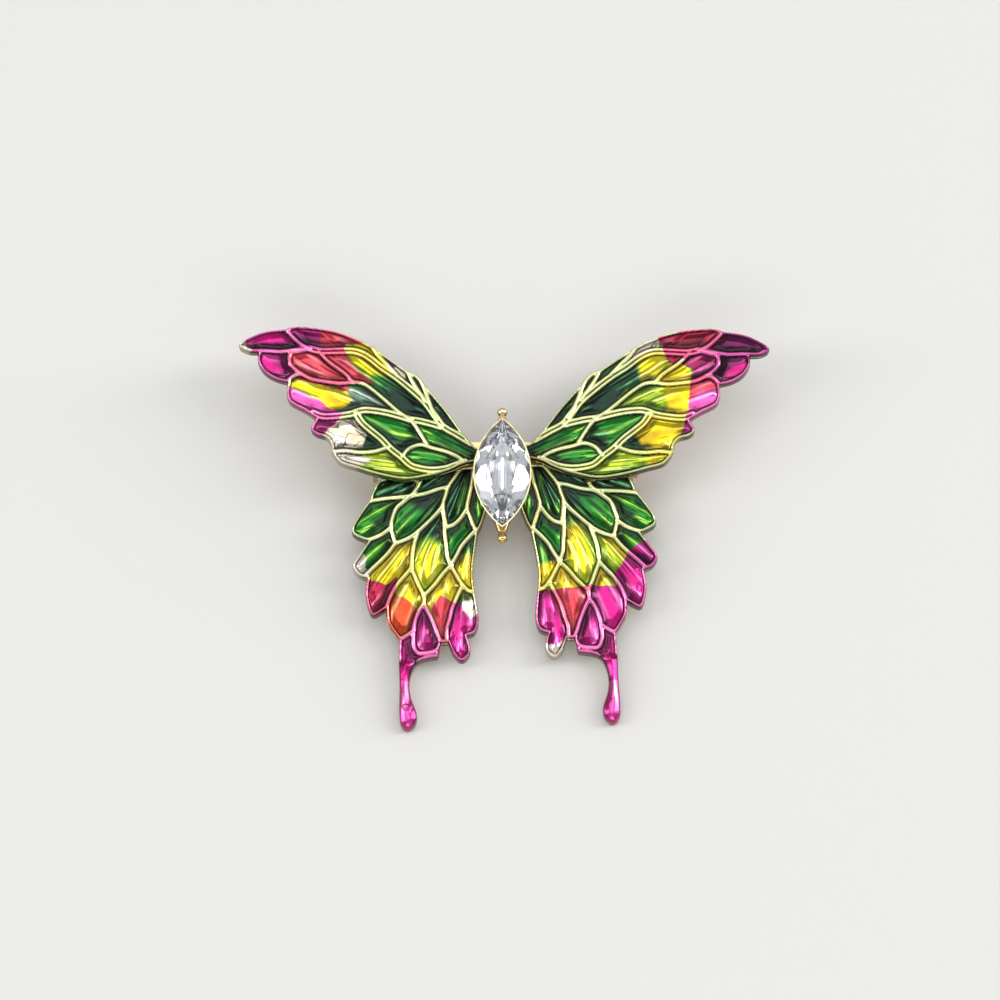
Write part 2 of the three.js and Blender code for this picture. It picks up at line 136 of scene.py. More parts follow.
def add(operator, name, **settings):
    """Add a primitive with nothing else selected, name it, and put its place in its mesh."""
    deselect_all()
    operator(**settings)
    piece = bpy.context.object
    piece.name = name
    piece.data.name = name
    piece.data.transform(piece.matrix_basis)
    piece.matrix_basis = Matrix.Identity(4)
    return piece


def add_block(name, low, high):
    low, high = Vector(low), Vector(high)
    return add(bpy.ops.mesh.primitive_cube_add, name, size=1, location=(low + high) / 2,
               scale=high - low)


def add_rod(name, radius, start, end, sides=48):
    """A cylinder between two points."""
    start, end = Vector(start), Vector(end)
    turn = (end - start).to_track_quat("Z", "Y").to_euler()
    return add(bpy.ops.mesh.primitive_cylinder_add, name, vertices=sides, radius=radius,
               depth=(end - start).length, location=(start + end) / 2, rotation=turn)


def pick(piece, domain, test):
    """Go into edit mode with only the faces, edges or vertices that pass the test selected."""
    activate(piece)
    mesh = piece.data
    for group in (mesh.vertices, mesh.edges, mesh.polygons):
        group.foreach_set("select", [False] * len(group))
    bpy.ops.object.mode_set(mode="EDIT")
    bpy.ops.mesh.select_mode(type=domain)
    bpy.ops.mesh.select_all(action="DESELECT")
    bpy.ops.object.mode_set(mode="OBJECT")
    group = {"VERT": mesh.vertices, "EDGE": mesh.edges, "FACE": mesh.polygons}[domain]
    chosen = [bool(test(item)) for item in group]
    group.foreach_set("select", chosen)
    bpy.ops.object.mode_set(mode="EDIT")
    return sum(chosen)


def pick_all(piece):
    activate(piece)
    bpy.ops.object.mode_set(mode="EDIT")
    bpy.ops.mesh.select_all(action="SELECT")


def done():
    bpy.ops.object.mode_set(mode="OBJECT")


def cut_along(piece, place, normal, **settings):
    """Cut new edges where a plane crosses the piece. The settings can also take one side off."""
    pick_all(piece)
    bpy.ops.mesh.bisect(plane_co=place, plane_no=normal, **settings)
    done()


def resize_picked(size, centre):
    bpy.ops.transform.resize(value=size, center_override=centre)
    done()


def apply_modifiers(piece):
    activate(piece)
    for modifier in list(piece.modifiers):
        bpy.ops.object.modifier_apply(modifier=modifier.name)


def combine(piece, other, operation):
    """Join, cut or cross two solids with a Boolean modifier, and remove the second one."""
    cutter = piece.modifiers.new("combine", "BOOLEAN")
    cutter.operation = operation
    cutter.object = other
    cutter.solver = "EXACT"
    apply_modifiers(piece)
    bpy.data.objects.remove(other)
    return piece


def soften(piece, width, segments=3, angle=30):
    """Round every sharp edge a little, as tumbling does to a real casting."""
    bevel = piece.modifiers.new("soften", "BEVEL")
    bevel.width = width
    bevel.segments = segments
    bevel.limit_method = "ANGLE"
    bevel.angle_limit = math.radians(angle)
    bevel.harden_normals = False
    apply_modifiers(piece)


def smooth(piece, angle=40):
    activate(piece)
    bpy.ops.object.shade_smooth_by_angle(angle=math.radians(angle))


def settle(piece, body, finish, slot, *nodes):
    """Bring a finished piece to metres and to its place, give it its finish, and hide the imported
    nodes that it stands for.
    """
    piece.data.transform(TO_FRAME)
    piece.data.materials.clear()
    piece.data.materials.append(finish)
    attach(piece, body)
    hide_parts(*nodes)
    triangles = sum(len(p.vertices) - 2 for p in piece.data.polygons)
    print(f"{piece.name}: {triangles} triangles, rides on {body}")
    return piece


# %% [markdown]
# ## Shared surface effects
# Two effects appear in more than one finish. Hand polishing leaves faint cloudy changes in how
# sharp a reflection is, and casting and plating leave a very fine unevenness. Each is a node
# group that puts out only a value or a normal, so each finish keeps its own shader.

# %% Node groups
def group_with(name, inputs, outputs):
    tree = bpy.data.node_groups.new(name, "ShaderNodeTree")
    for label, kind, value in inputs:
        socket = tree.interface.new_socket(label, in_out="INPUT", socket_type=kind)
        if value is not None:
            socket.default_value = value
    for label, kind in outputs:
        tree.interface.new_socket(label, in_out="OUTPUT", socket_type=kind)
    return tree, tree.nodes.new("NodeGroupInput"), tree.nodes.new("NodeGroupOutput")


def node_with(tree, kind, values=()):
    """A new node, with the constants of its sockets given by name."""
    node = tree.nodes.new(kind)
    for label, value in dict(values).items():
        node.inputs[label].default_value = value
    return node


def connect(tree, *links):
    """Each link is a node and its output, then the node and the input that it goes to."""
    for source, output, target, socket in links:
        tree.links.new(source.outputs[output], target.inputs[socket])


def make_polish_group():
    """Cloudy roughness: a low and a high value mixed by soft noise on object coordinates."""
    tree, given, result = group_with("polish_cloud", [
        ("Scale", "NodeSocketFloat", 400.0),
        ("Smoothest", "NodeSocketFloat", 0.1),
        ("Roughest", "NodeSocketFloat", 0.3),
    ], [("Roughness", "NodeSocketFloat")])
    place = node_with(tree, "ShaderNodeTexCoord")
    cloud = node_with(tree, "ShaderNodeTexNoise", {"Detail": 5})
    spread = node_with(tree, "ShaderNodeMapRange", {"From Min": 0.3, "From Max": 0.7})
    connect(tree, (place, "Object", cloud, "Vector"), (given, "Scale", cloud, "Scale"),
            (cloud, "Fac", spread, "Value"), (given, "Smoothest", spread, "To Min"),
            (given, "Roughest", spread, "To Max"), (spread, "Result", result, "Roughness"))
    return tree


def make_grain_group():
    """Fine unevenness: a bump from two sizes of noise on object coordinates."""
    tree, given, result = group_with("cast_grain", [
        ("Scale", "NodeSocketFloat", 2500.0),
        ("Depth", "NodeSocketFloat", 0.2),
        ("Height", "NodeSocketFloat", 0.00002),
    ], [("Normal", "NodeSocketVector")])
    place = node_with(tree, "ShaderNodeTexCoord")
    grain = node_with(tree, "ShaderNodeTexNoise", {"Detail": 6, "Roughness": 0.6})
    bump = node_with(tree, "ShaderNodeBump")
    connect(tree, (place, "Object", grain, "Vector"), (given, "Scale", grain, "Scale"),
            (grain, "Fac", bump, "Height"), (given, "Depth", bump, "Strength"),
            (given, "Height", bump, "Distance"), (bump, "Normal", result, "Normal"))
    return tree


polish_cloud = make_polish_group()
cast_grain = make_grain_group()
print("shared effects:", polish_cloud.name, cast_grain.name)

# %% [markdown]
# ## Metal and glass finishes
# The metal is one pale gold plate: fully metallic, slightly warm, a little duller where the
# polishing mop doesn't reach. The needle is bright steel wire. The stone is clear glass with a
# mirror foil behind it, so its light comes from what the foil throws back through the facets.

# %% Metal, steel, glass and foil
def linear(hex_colour):
    """A hex colour as the linear numbers that a shader wants."""
    parts = [int(hex_colour[i:i + 2], 16) / 255 for i in (1, 3, 5)]
    return [p / 12.92 if p <= 0.04045 else ((p + 0.055) / 1.055) ** 2.4 for p in parts]


def new_finish(name):
    finish = bpy.data.materials.new(name)
    finish.use_nodes = True
    return finish, finish.node_tree, finish.node_tree.nodes["Principled BSDF"]


def place_group(tree, group, **values):
    node = node_with(tree, "ShaderNodeGroup")
    node.node_tree = group
    for label, value in values.items():
        node.inputs[label].default_value = value
    return node


def metal_finish(name, bright, dull, smoothest, roughest, grain_scale, grain_depth):
    finish, tree, shader = new_finish(name)
    shader.inputs["Metallic"].default_value = 1.0
    place = node_with(tree, "ShaderNodeTexCoord")
    stain = node_with(tree, "ShaderNodeTexNoise", {"Scale": 260, "Detail": 4})
    tint = node_with(tree, "ShaderNodeValToRGB")
    for stop, (where, shade) in zip(tint.color_ramp.elements, ((0.35, dull), (0.6, bright))):
        stop.position = where
        stop.color = (*linear(shade), 1)
    cloud = place_group(tree, polish_cloud, Scale=500, Smoothest=smoothest, Roughest=roughest)
    grain = place_group(tree, cast_grain, Scale=grain_scale, Depth=grain_depth)
    connect(tree, (place, "Object", stain, "Vector"), (stain, "Fac", tint, "Fac"),
            (tint, "Color", shader, "Base Color"), (cloud, "Roughness", shader, "Roughness"),
            (grain, "Normal", shader, "Normal"))
    return finish


def glass_finish():
    finish, tree, shader = new_finish("navette_glass")
    shader.inputs["Base Color"].default_value = (0.98, 0.985, 1.0, 1)
    shader.inputs["Roughness"].default_value = 0.0
    shader.inputs["IOR"].default_value = 1.56
    shader.inputs["Transmission Weight"].default_value = 0.95
    wear = place_group(tree, cast_grain, Scale=900, Depth=0.02)
    connect(tree, (wear, "Normal", shader, "Normal"))
    return finish


gold_plate = metal_finish("pale_gold_plate", "#f3dfb4", "#d9b97c", 0.12, 0.3, 2500, 0.12)
back_plate = metal_finish("satin_gold_back", "#ead3a2", "#c9a768", 0.24, 0.42, 5000, 0.45)
pin_steel = metal_finish("bright_steel_wire", "#d9dadf", "#a9abb2", 0.12, 0.26, 4000, 0.1)
foil_mirror = metal_finish("silvered_foil", "#fcfdff", "#f0f2f6", 0.06, 0.12, 900, 0.03)
stone_glass = glass_finish()
print("finishes:", [m.name for m in (gold_plate, back_plate, pin_steel, foil_mirror, stone_glass)])

# %% [markdown]
# ## Lacquer over relief
# On the real brooch the wings are cast with raised veins and small leaf-shaped ridges, plated,
# and then painted with a tinted see-through lacquer. The lacquer runs off the high lines and
# gathers in the low ones, so a ridge shines nearly as metal and a hollow is deep and dark. The
# finish reads a colour worked out point by point from that idea, with painted shade in the
# grooves, at the inner ends of the cells and by the stone, and a painted highlight along the
# leaf ridges; the finish adds only fine clouding.

# %% The lacquer finish
def lacquer_finish():
    finish, tree, shader = new_finish("tinted_lacquer")
    tint = tree.nodes.new("ShaderNodeAttribute")
    tint.attribute_name = "lacquer"
    place = node_with(tree, "ShaderNodeTexCoord")
    cloud = node_with(tree, "ShaderNodeTexNoise", {"Scale": 1400, "Detail": 4})
    strength = node_with(tree, "ShaderNodeMapRange", {
        "From Min": 0.3, "From Max": 0.7, "To Min": 0.82, "To Max": 1.08})
    shade = node_with(tree, "ShaderNodeVectorMath")
    shade.operation = "SCALE"
    gloss = place_group(tree, polish_cloud, Scale=700, Smoothest=0.13, Roughest=0.24)
    grain = place_group(tree, cast_grain, Scale=2200, Depth=0.1)
    connect(tree, (place, "Object", cloud, "Vector"), (cloud, "Fac", strength, "Value"),
            (tint, "Color", shade, "Vector"), (strength, "Result", shade, "Scale"),
            (shade, "Vector", shader, "Base Color"), (gloss, "Roughness", shader, "Roughness"),
            (grain, "Normal", shader, "Normal"))
    shader.inputs["Metallic"].default_value = 0.85
    shader.inputs["Coat Weight"].default_value = 0.35
    shader.inputs["Coat Roughness"].default_value = 0.03
    shader.inputs["Coat IOR"].default_value = 1.5
    return finish


lacquer = lacquer_finish()
print("lacquer finish:", lacquer.name)

# %% [markdown]
# ## The drawn lines of a wing
# One wing of each pair is drawn, and its mirror image makes the other. The outline is a row of
# smooth curves that meet at corners. The veins are smooth curves too: some are a single wire,
# and some are two or three wires side by side with a groove between.

# %% Outlines and veins, in millimetres around the stone's centre
FORE_START = (1.5, 3.6)
FORE_RUNS = [
    [(2.6, 3.8), (3.2, 4.3), (3.8, 5.0), (5.5, 7.4), (7.5, 9.8)],
    [(7.9, 10.4), (8.7, 11.2), (9.5, 11.5)],
    [(11.2, 12.7), (13.0, 13.9)],
    [(14.4, 14.6), (16.7, 15.4), (19.2, 15.7), (20.8, 15.7), (21.5, 15.4)],
    [(23.7, 15.0), (25.4, 14.2), (26.3, 13.5), (26.1, 13.0), (25.3, 12.7), (24.4, 12.7)],
    [(24.4, 11.7), (23.8, 10.7), (22.7, 10.0), (21.4, 9.7)],
    [(21.5, 8.6), (21.1, 7.6), (19.6, 6.8), (18.5, 6.1)],
    [(19.0, 5.0), (18.5, 4.4), (17.5, 4.1), (17.0, 3.5), (16.9, 2.6)],
    [(16.0, 1.5), (14.3, 1.0), (12.0, 0.4), (9.5, 0.1), (7.1, 0.6), (5.1, 1.3), (3.7, 2.0),
     (1.5, 2.5)],
    [(1.5, 3.6)],
]
HIND_START = (1.5, 2.2)
HIND_RUNS = [
    [(5.2, 2.0), (8.6, 1.6), (11.3, 1.3)],
    [(12.3, 0.9), (12.9, -0.1), (13.2, -0.9)],
    [(14.1, -2.1), (15.0, -3.5), (14.9, -4.4), (13.5, -5.1)],
    [(14.5, -6.5), (15.1, -7.5), (14.6, -8.4), (13.7, -8.8)],
    [(13.9, -10.6), (13.3, -12.5), (11.9, -11.9)],
    [(11.8, -13.2), (11.2, -14.3), (10.7, -15.0)],
    [(10.8, -16.8), (10.8, -19.6), (10.9, -21.8), (10.8, -23.3), (10.1, -23.9), (9.3, -23.3),
     (9.2, -22.3), (9.7, -20.8), (9.8, -19.3), (9.4, -17.9), (8.6, -17.1), (6.9, -16.8)],
    [(6.7, -16.0), (6.6, -15.4)],
    [(5.9, -15.4)],
    [(5.4, -16.6), (4.6, -17.3), (3.8, -16.7), (3.7, -15.8), (4.0, -14.8)],
    [(3.2, -14.5), (2.8, -13.5), (2.9, -11.8), (3.1, -10.5)],
    [(3.2, -8.5), (2.9, -6.3), (2.6, -4.6)],
    [(2.0, -3.3), (1.5, -1.3), (1.5, 2.2)],
]

# Each vein: how many wires it is laid from, and the points that it passes through.
FORE_VEINS = [
    (2, [(3.2, 4.2), (4.7, 5.1), (5.9, 5.8), (6.6, 6.7), (7.7, 8.2), (9.2, 9.6), (10.7, 10.8),
     (12.2, 11.8), (13.2, 12.6), (14.2, 13.2), (15.2, 13.4), (16.7, 13.3), (18.2, 13.2),
     (19.3, 13.4)]),
    (1, [(19.3, 13.4), (20.7, 13.2), (22.2, 12.9), (23.7, 12.9), (25.1, 12.8), (25.8, 13.1)]),
    (1, [(21.4, 15.5), (21.5, 15.1), (21.0, 14.5), (20.2, 13.8), (19.3, 13.4)]),
    (1, [(9.5, 11.5), (8.8, 11.1), (8.2, 10.5), (7.8, 9.6), (7.4, 8.5), (7.0, 7.5), (6.5, 6.5)]),
    (1, [(9.5, 11.5), (9.2, 10.7), (8.6, 9.7), (7.7, 8.4)]),
    (1, [(13.1, 13.9), (12.5, 13.0), (11.6, 12.1), (10.6, 11.0)]),
    (1, [(18.4, 13.1), (17.4, 12.1), (16.4, 11.4), (15.6, 10.8), (15.0, 10.1)]),
    (1, [(15.0, 10.1), (16.2, 9.9), (17.7, 10.0), (19.1, 10.2), (20.3, 10.8), (21.1, 11.5),
     (21.3, 12.2), (21.1, 12.8), (20.2, 13.1), (19.3, 13.4)]),
    (1, [(15.0, 10.1), (14.0, 10.0), (12.9, 9.3), (11.7, 8.3), (10.4, 7.2), (9.2, 6.4)]),
    (2, [(9.2, 6.4), (8.2, 6.3), (6.9, 6.0), (6.2, 5.8)]),
    (2, [(9.2, 6.4), (10.6, 6.8), (12.1, 7.1), (13.6, 7.2), (14.4, 7.0), (15.1, 6.7), (16.6, 6.4),
     (17.9, 6.3), (18.8, 6.6)]),
    (2, [(14.5, 6.7), (13.9, 5.8), (13.1, 5.1), (12.1, 4.3), (11.5, 3.7), (10.9, 3.1), (10.0, 2.4),
     (9.1, 1.6), (8.1, 1.3), (6.9, 1.2), (5.6, 1.4), (4.6, 1.8), (3.7, 2.2)]),
    (1, [(11.3, 3.4), (12.6, 2.9), (14.1, 2.7), (15.6, 2.8), (16.9, 2.6)]),
    (1, [(9.9, 2.5), (9.4, 3.2), (8.8, 3.6), (8.0, 3.8), (6.9, 3.5), (5.6, 3.2), (4.6, 2.8),
     (3.7, 2.2)]),
    (1, [(9.2, 6.4), (8.5, 5.5), (8.0, 4.7), (7.5, 3.9)]),
    (1, [(21.4, 9.7), (21.2, 10.1), (20.7, 10.5), (20.1, 10.7)]),
]
HIND_VEINS = [
    (1, [(4.0, 2.1), (4.8, 1.0), (5.4, 0.1), (5.7, -0.8), (6.0, -1.8), (5.9, -2.8), (5.7, -3.9)]),
    (1, [(5.4, 0.1), (6.4, -0.1), (7.7, -0.5), (9.0, -0.7), (10.2, -0.8), (11.7, -0.9),
     (13.2, -1.1)]),
    (1, [(9.1, -0.7), (8.6, -0.1), (8.3, 0.5), (8.0, 1.1)]),
    (1, [(9.1, -0.7), (9.9, -1.3), (10.6, -1.9), (11.0, -2.8), (11.2, -3.7), (11.0, -4.7),
     (10.8, -5.4)]),
    (1, [(10.8, -5.4), (9.9, -5.1), (9.1, -4.7), (8.3, -4.1), (7.3, -3.2), (6.6, -2.5),
     (6.0, -1.8)]),
    (1, [(11.2, -3.8), (12.0, -4.4), (12.9, -4.8), (13.6, -5.0)]),
    (1, [(10.8, -5.4), (11.5, -6.3), (12.3, -7.1), (13.2, -7.9), (13.9, -8.6)]),
    (1, [(8.5, -4.3), (9.0, -5.7), (9.2, -6.8), (9.3, -7.9)]),
    (1, [(9.3, -7.9), (9.9, -8.6), (10.8, -9.6), (11.5, -10.8), (11.9, -11.9)]),
    (1, [(9.3, -7.9), (8.9, -8.9), (8.5, -9.9), (8.1, -10.7)]),
    (1, [(6.0, -1.8), (5.9, -3.2), (5.9, -4.4), (5.8, -5.7), (5.7, -6.8), (5.4, -7.8)]),
    (1, [(5.4, -7.8), (6.2, -8.6), (7.0, -9.6), (8.1, -10.7)]),
    (1, [(3.6, -2.1), (4.3, -3.1), (5.0, -3.7), (5.7, -3.9)]),
    (1, [(2.9, 1.6), (3.1, 0.2), (3.4, -1.0), (3.6, -2.1), (3.3, -3.0), (3.0, -3.9), (2.6, -4.6)]),
    (1, [(2.8, -4.3), (3.6, -5.1), (4.3, -5.9), (4.8, -6.8), (5.4, -7.8)]),
    (1, [(5.4, -7.8), (4.8, -8.9), (4.4, -9.6), (3.8, -10.3), (3.1, -10.5)]),
    (1, [(4.3, -9.8), (4.9, -11.0), (5.4, -12.1), (5.7, -13.2), (6.0, -14.2), (6.0, -15.4)]),
    (1, [(8.2, -11.6), (8.7, -12.3), (9.1, -13.3), (9.3, -14.4), (9.3, -15.6), (8.9, -16.4),
     (7.9, -16.4), (7.1, -16.2), (6.7, -15.6)]),
    (1, [(8.2, -11.6), (7.7, -12.5), (7.2, -13.7), (6.9, -14.6), (6.6, -15.3)]),
    (1, [(8.1, -10.7), (8.2, -11.6)]),
    (1, [(11.9, -11.9), (11.8, -13.2), (11.2, -14.4), (10.6, -14.9), (9.9, -14.6), (9.3, -14.2)]),
]


def smooth_curve(knots, steps):
    """A curve through all the knots, with straight-ish ends, as an array of points."""
    knots = np.array(knots, float)
    if len(knots) == 2:
        return np.linspace(knots[0], knots[1], steps + 1)
    padded = np.vstack([knots[:1], knots, knots[-1:]])
    t = np.linspace(0, 1, steps + 1)[:-1, None]
    parts = []
    for a, b, c, d in zip(padded, padded[1:], padded[2:], padded[3:]):
        parts.append(0.5 * (2 * b + (c - a) * t + (2 * a - 5 * b + 4 * c - d) * t ** 2
                            + (3 * b - a - 3 * c + d) * t ** 3))
    return np.vstack(parts + [knots[-1:]])


def outline_of(start, runs):
    points, last = [], start
    for run in runs:
        points.append(smooth_curve([last, *run], 6)[:-1])
        last = run[-1]
    return np.vstack(points)


fore_outline = outline_of(FORE_START, FORE_RUNS)
hind_outline = outline_of(HIND_START, HIND_RUNS)
fore_veins = [(wires, smooth_curve(knots, 5)) for wires, knots in FORE_VEINS]
hind_veins = [(wires, smooth_curve(knots, 5)) for wires, knots in HIND_VEINS]
print("outline points:", len(fore_outline), len(hind_outline))
print("veins:", len(fore_veins), len(hind_veins))

# %% [markdown]
# ## Painting plan
# The painter works wet colours into each other, so the two wings of a pair never match. Each
# wing has its own list of patches over a green ground, painted in order. A patch is a colour,
# the width in millimetres over which its edge fades, and the corners of the patch. Each colour
# has a deep tone for hollows, a body tone, a light tone for ridges, where the metal shines
# through and a highlight is painted, and a tone for the wires, where the film is thinnest.

# %% Colours and patches
TONES = {
    "green": ("#011a08", "#148a26", "#b8f45c", "#f0f4b0"),
    "smoke": ("#010c08", "#063424", "#6cc07c", "#d4e8a0"),
    "mist": ("#2c4038", "#86a694", "#e4f0dc", "#e6f0a8"),
    "lime": ("#4c7c00", "#c2dc20", "#f4fc90", "#f2f494"),
    "yellow": ("#bc9c00", "#f8e404", "#fffa90", "#fff480"),
    "gold": ("#ccbca0", "#fff4e4", "#fffaf0", "#fff4e0"),
    "coral": ("#8c1424", "#f04c58", "#ff9ca8", "#ff7c94"),
    "crimson": ("#600820", "#bc1040", "#f46c8c", "#f86c98"),
    "orange": ("#7c1c08", "#e04c20", "#ffa070", "#ff8c70"),
    "magenta": ("#5c003c", "#dc0884", "#ff80d0", "#ff84c4"),
    "maroon": ("#300418", "#941450", "#f478b4", "#f870b0"),
    "plum": ("#280020", "#6c0850", "#cc5ca0", "#d85ca4"),
    "orchid": ("#b41070", "#ff5cb8", "#ffc4ec", "#ffa0d4"),
}
LEFT_FORE_PATCHES = [
    ("smoke", 0.7, [(13.0, 10.4), (11.0, 10.1), (7.4, 8.3), (6.4, 6.0), (9.4, 6.5), (11.7, 8.5)]),
    ("smoke", 0.4, [(14.3, 6.5), (12.6, 5.7), (9.8, 4.0), (7.7, 4.3), (9.5, 2.5), (11.7, 3.8)]),
    ("smoke", 0.3, [(7.4, 9.4), (6.2, 8.4), (3.2, 4.5), (4.7, 5.1), (6.6, 6.9)]),
    ("mist", 0.6, [(15.7, 9.4), (13.0, 9.3), (10.4, 7.1), (14.1, 7.4), (15.7, 7.3)]),
    ("lime", 0.5, [(17.0, 2.1), (11.1, 2.9), (8.1, 1.5), (6.1, 0.8), (10.0, 0.0), (15.0, 1.0)]),
    ("yellow", 0.35, [(15.9, 13.9), (13.6, 14.5), (12.6, 13.7), (11.6, 12.3), (11.0, 11.0),
     (12.2, 11.1), (13.4, 11.0), (15.0, 12.2)]),
    ("yellow", 0.06, [(21.1, 9.7), (19.7, 10.1), (17.6, 9.5), (15.6, 9.1), (14.9, 8.2),
     (15.7, 7.3), (17.1, 7.0), (18.3, 7.9), (19.9, 8.7), (21.2, 9.1)]),
    ("gold", 0.1, [(11.8, 13.1), (11.0, 12.8), (9.7, 11.5), (9.8, 10.7), (10.6, 11.1),
     (11.6, 12.0)]),
    ("coral", 0.05, [(18.0, 16.0), (15.2, 15.1), (13.5, 14.4), (15.6, 14.0), (16.0, 13.6),
     (15.7, 13.1), (15.2, 12.1), (14.2, 11.1), (12.8, 10.1), (15.0, 10.0), (15.8, 9.6),
     (20.1, 10.2), (21.4, 11.4), (21.4, 13.1), (18.4, 13.2)]),
    ("crimson", 0.08, [(21.1, 9.8), (20.5, 10.4), (18.3, 10.1), (16.2, 9.6), (15.0, 9.5),
     (15.4, 9.1), (17.5, 9.5), (19.6, 10.0)]),
    ("magenta", 0.3, [(26.6, 14.8), (21.6, 16.2), (18.0, 16.0), (18.2, 14.3), (18.6, 13.1),
     (21.4, 12.9), (26.5, 12.1)]),
    ("magenta", 0.06, [(25.0, 12.8), (21.5, 13.0), (21.2, 11.4), (20.5, 10.5), (21.5, 9.7),
     (24.9, 9.7)]),
    ("orchid", 0.08, [(21.9, 9.7), (21.1, 9.2), (19.9, 8.7), (18.3, 7.9), (17.1, 7.0), (15.6, 6.9),
     (16.3, 6.2), (18.9, 6.2), (21.9, 7.5)]),
    ("magenta", 0.08, [(19.5, 6.2), (16.1, 6.5), (16.1, 5.6), (17.3, 4.8), (17.8, 4.2),
     (19.4, 3.9)]),
    ("plum", 0.25, [(25.6, 13.2), (24.0, 13.7), (20.6, 14.0), (20.0, 13.3), (25.1, 12.8)]),
    ("plum", 0.25, [(21.2, 15.0), (20.2, 14.9), (18.6, 13.7), (16.2, 13.4), (19.2, 13.3),
     (20.6, 14.1)]),
    ("gold", 0.12, [(17.6, 4.6), (16.2, 6.0), (14.7, 6.0), (13.4, 4.6), (13.9, 3.3), (17.4, 3.0)]),
    ("gold", 0.35, [(17.2, 2.8), (15.0, 2.9), (12.9, 1.9), (14.6, 0.9), (16.6, 1.3)]),
    ("gold", 0.04, [(26.8, 14.2), (25.7, 14.3), (25.6, 13.3), (25.1, 12.8), (26.7, 12.5)]),
]
RIGHT_FORE_PATCHES = [
    ("smoke", 0.6, [(6.9, 6.4), (9.4, 9.1), (12.8, 12.0), (14.4, 11.1), (11.3, 8.0), (9.6, 7.0)]),
    ("smoke", 0.4, [(8.0, 4.7), (9.9, 3.2), (10.8, 4.7), (9.6, 5.1)]),
    ("smoke", 0.3, [(4.2, 5.4), (5.5, 7.5), (7.4, 9.3), (6.8, 7.9), (5.7, 5.8)]),
    ("mist", 0.5, [(10.6, 7.2), (12.0, 8.6), (13.5, 9.0), (13.1, 7.8)]),
    ("lime", 0.5, [(7.7, 1.0), (9.7, 2.2), (11.4, 3.2), (15.1, 2.7), (13.6, 1.3), (9.7, 0.5)]),
    ("lime", 0.5, [(12.3, 9.1), (16.2, 9.6), (16.3, 7.1), (13.5, 7.6), (11.3, 7.8)]),
    ("yellow", 0.35, [(13.4, 13.2), (14.6, 13.6), (15.8, 13.4), (16.3, 12.1), (14.9, 10.8),
     (13.7, 10.5), (13.4, 11.8)]),
    ("yellow", 0.3, [(15.8, 9.8), (18.7, 10.4), (18.6, 9.1), (18.2, 7.9), (17.7, 6.9),
     (16.3, 7.1)]),
    ("yellow", 0.05, [(14.6, 10.4), (16.6, 12.1), (17.6, 12.1), (18.7, 11.3), (18.6, 10.1),
     (16.2, 9.8)]),
    ("yellow", 0.3, [(14.5, 6.8), (18.1, 6.5), (18.0, 5.2), (16.7, 3.8), (13.8, 3.7), (13.0, 4.7),
     (13.9, 5.9)]),
    ("yellow", 0.3, [(14.2, 4.4), (17.6, 4.6), (17.4, 2.4), (15.4, 2.6)]),
    ("yellow", 0.5, [(14.4, 3.1), (16.8, 2.9), (16.3, 1.9), (14.4, 1.4)]),
    ("yellow", 0.08, [(17.4, 10.3), (18.9, 10.4), (19.0, 7.2), (18.3, 6.2), (17.2, 6.4)]),
    ("orchid", 0.06, [(18.6, 8.4), (19.4, 10.2), (22.4, 9.8), (22.2, 7.0), (18.8, 6.2),
     (18.3, 6.6)]),
    ("crimson", 0.06, [(16.8, 12.4), (18.4, 14.2), (21.4, 14.2), (21.4, 12.6), (19.0, 12.4)]),
    ("magenta", 0.06, [(20.2, 10.6), (21.4, 13.2), (25.4, 13.0), (25.4, 9.0), (21.6, 9.4)]),
    ("gold", 0.06, [(12.6, 13.2), (13.7, 14.4), (15.3, 14.6), (15.4, 13.7), (14.4, 13.4),
     (13.2, 12.8), (12.1, 12.2)]),
    ("crimson", 0.05, [(15.2, 14.9), (18.3, 15.6), (21.6, 15.7), (22.2, 14.9), (20.1, 13.3),
     (18.7, 13.1), (17.7, 12.9), (17.0, 12.1), (16.3, 12.1), (15.8, 13.4)]),
    ("maroon", 0.06, [(17.5, 12.1), (18.9, 13.1), (21.1, 13.3), (21.5, 12.0), (20.7, 11.0),
     (19.7, 10.3), (18.6, 10.2), (18.7, 11.3)]),
    ("coral", 0.06, [(18.6, 10.3), (19.9, 10.5), (21.1, 10.7), (21.5, 8.9), (19.4, 8.5),
     (18.4, 8.1), (18.5, 9.1)]),
    ("orchid", 0.25, [(19.2, 8.9), (21.5, 9.5), (21.7, 8.2), (20.0, 7.2), (18.6, 6.8)]),
    ("crimson", 0.08, [(18.6, 10.2), (20.5, 10.8), (21.2, 9.7), (20.1, 10.1), (18.7, 9.7)]),
    ("magenta", 0.05, [(18.1, 6.6), (18.6, 6.8), (19.4, 5.4), (18.5, 4.5), (17.5, 4.6),
     (17.9, 5.4)]),
    ("plum", 0.08, [(21.6, 16.0), (27.1, 14.1), (27.2, 11.6), (24.2, 12.4), (20.1, 13.3),
     (21.6, 14.5)]),
    ("plum", 0.2, [(20.9, 13.3), (24.4, 12.4), (24.8, 11.5), (22.7, 11.5), (21.3, 9.7),
     (20.5, 11.0), (21.5, 12.0)]),
    ("magenta", 0.15, [(21.5, 9.7), (22.1, 10.9), (23.4, 11.7), (25.0, 11.9), (24.8, 10.6),
     (23.1, 9.6), (21.5, 9.3)]),
]
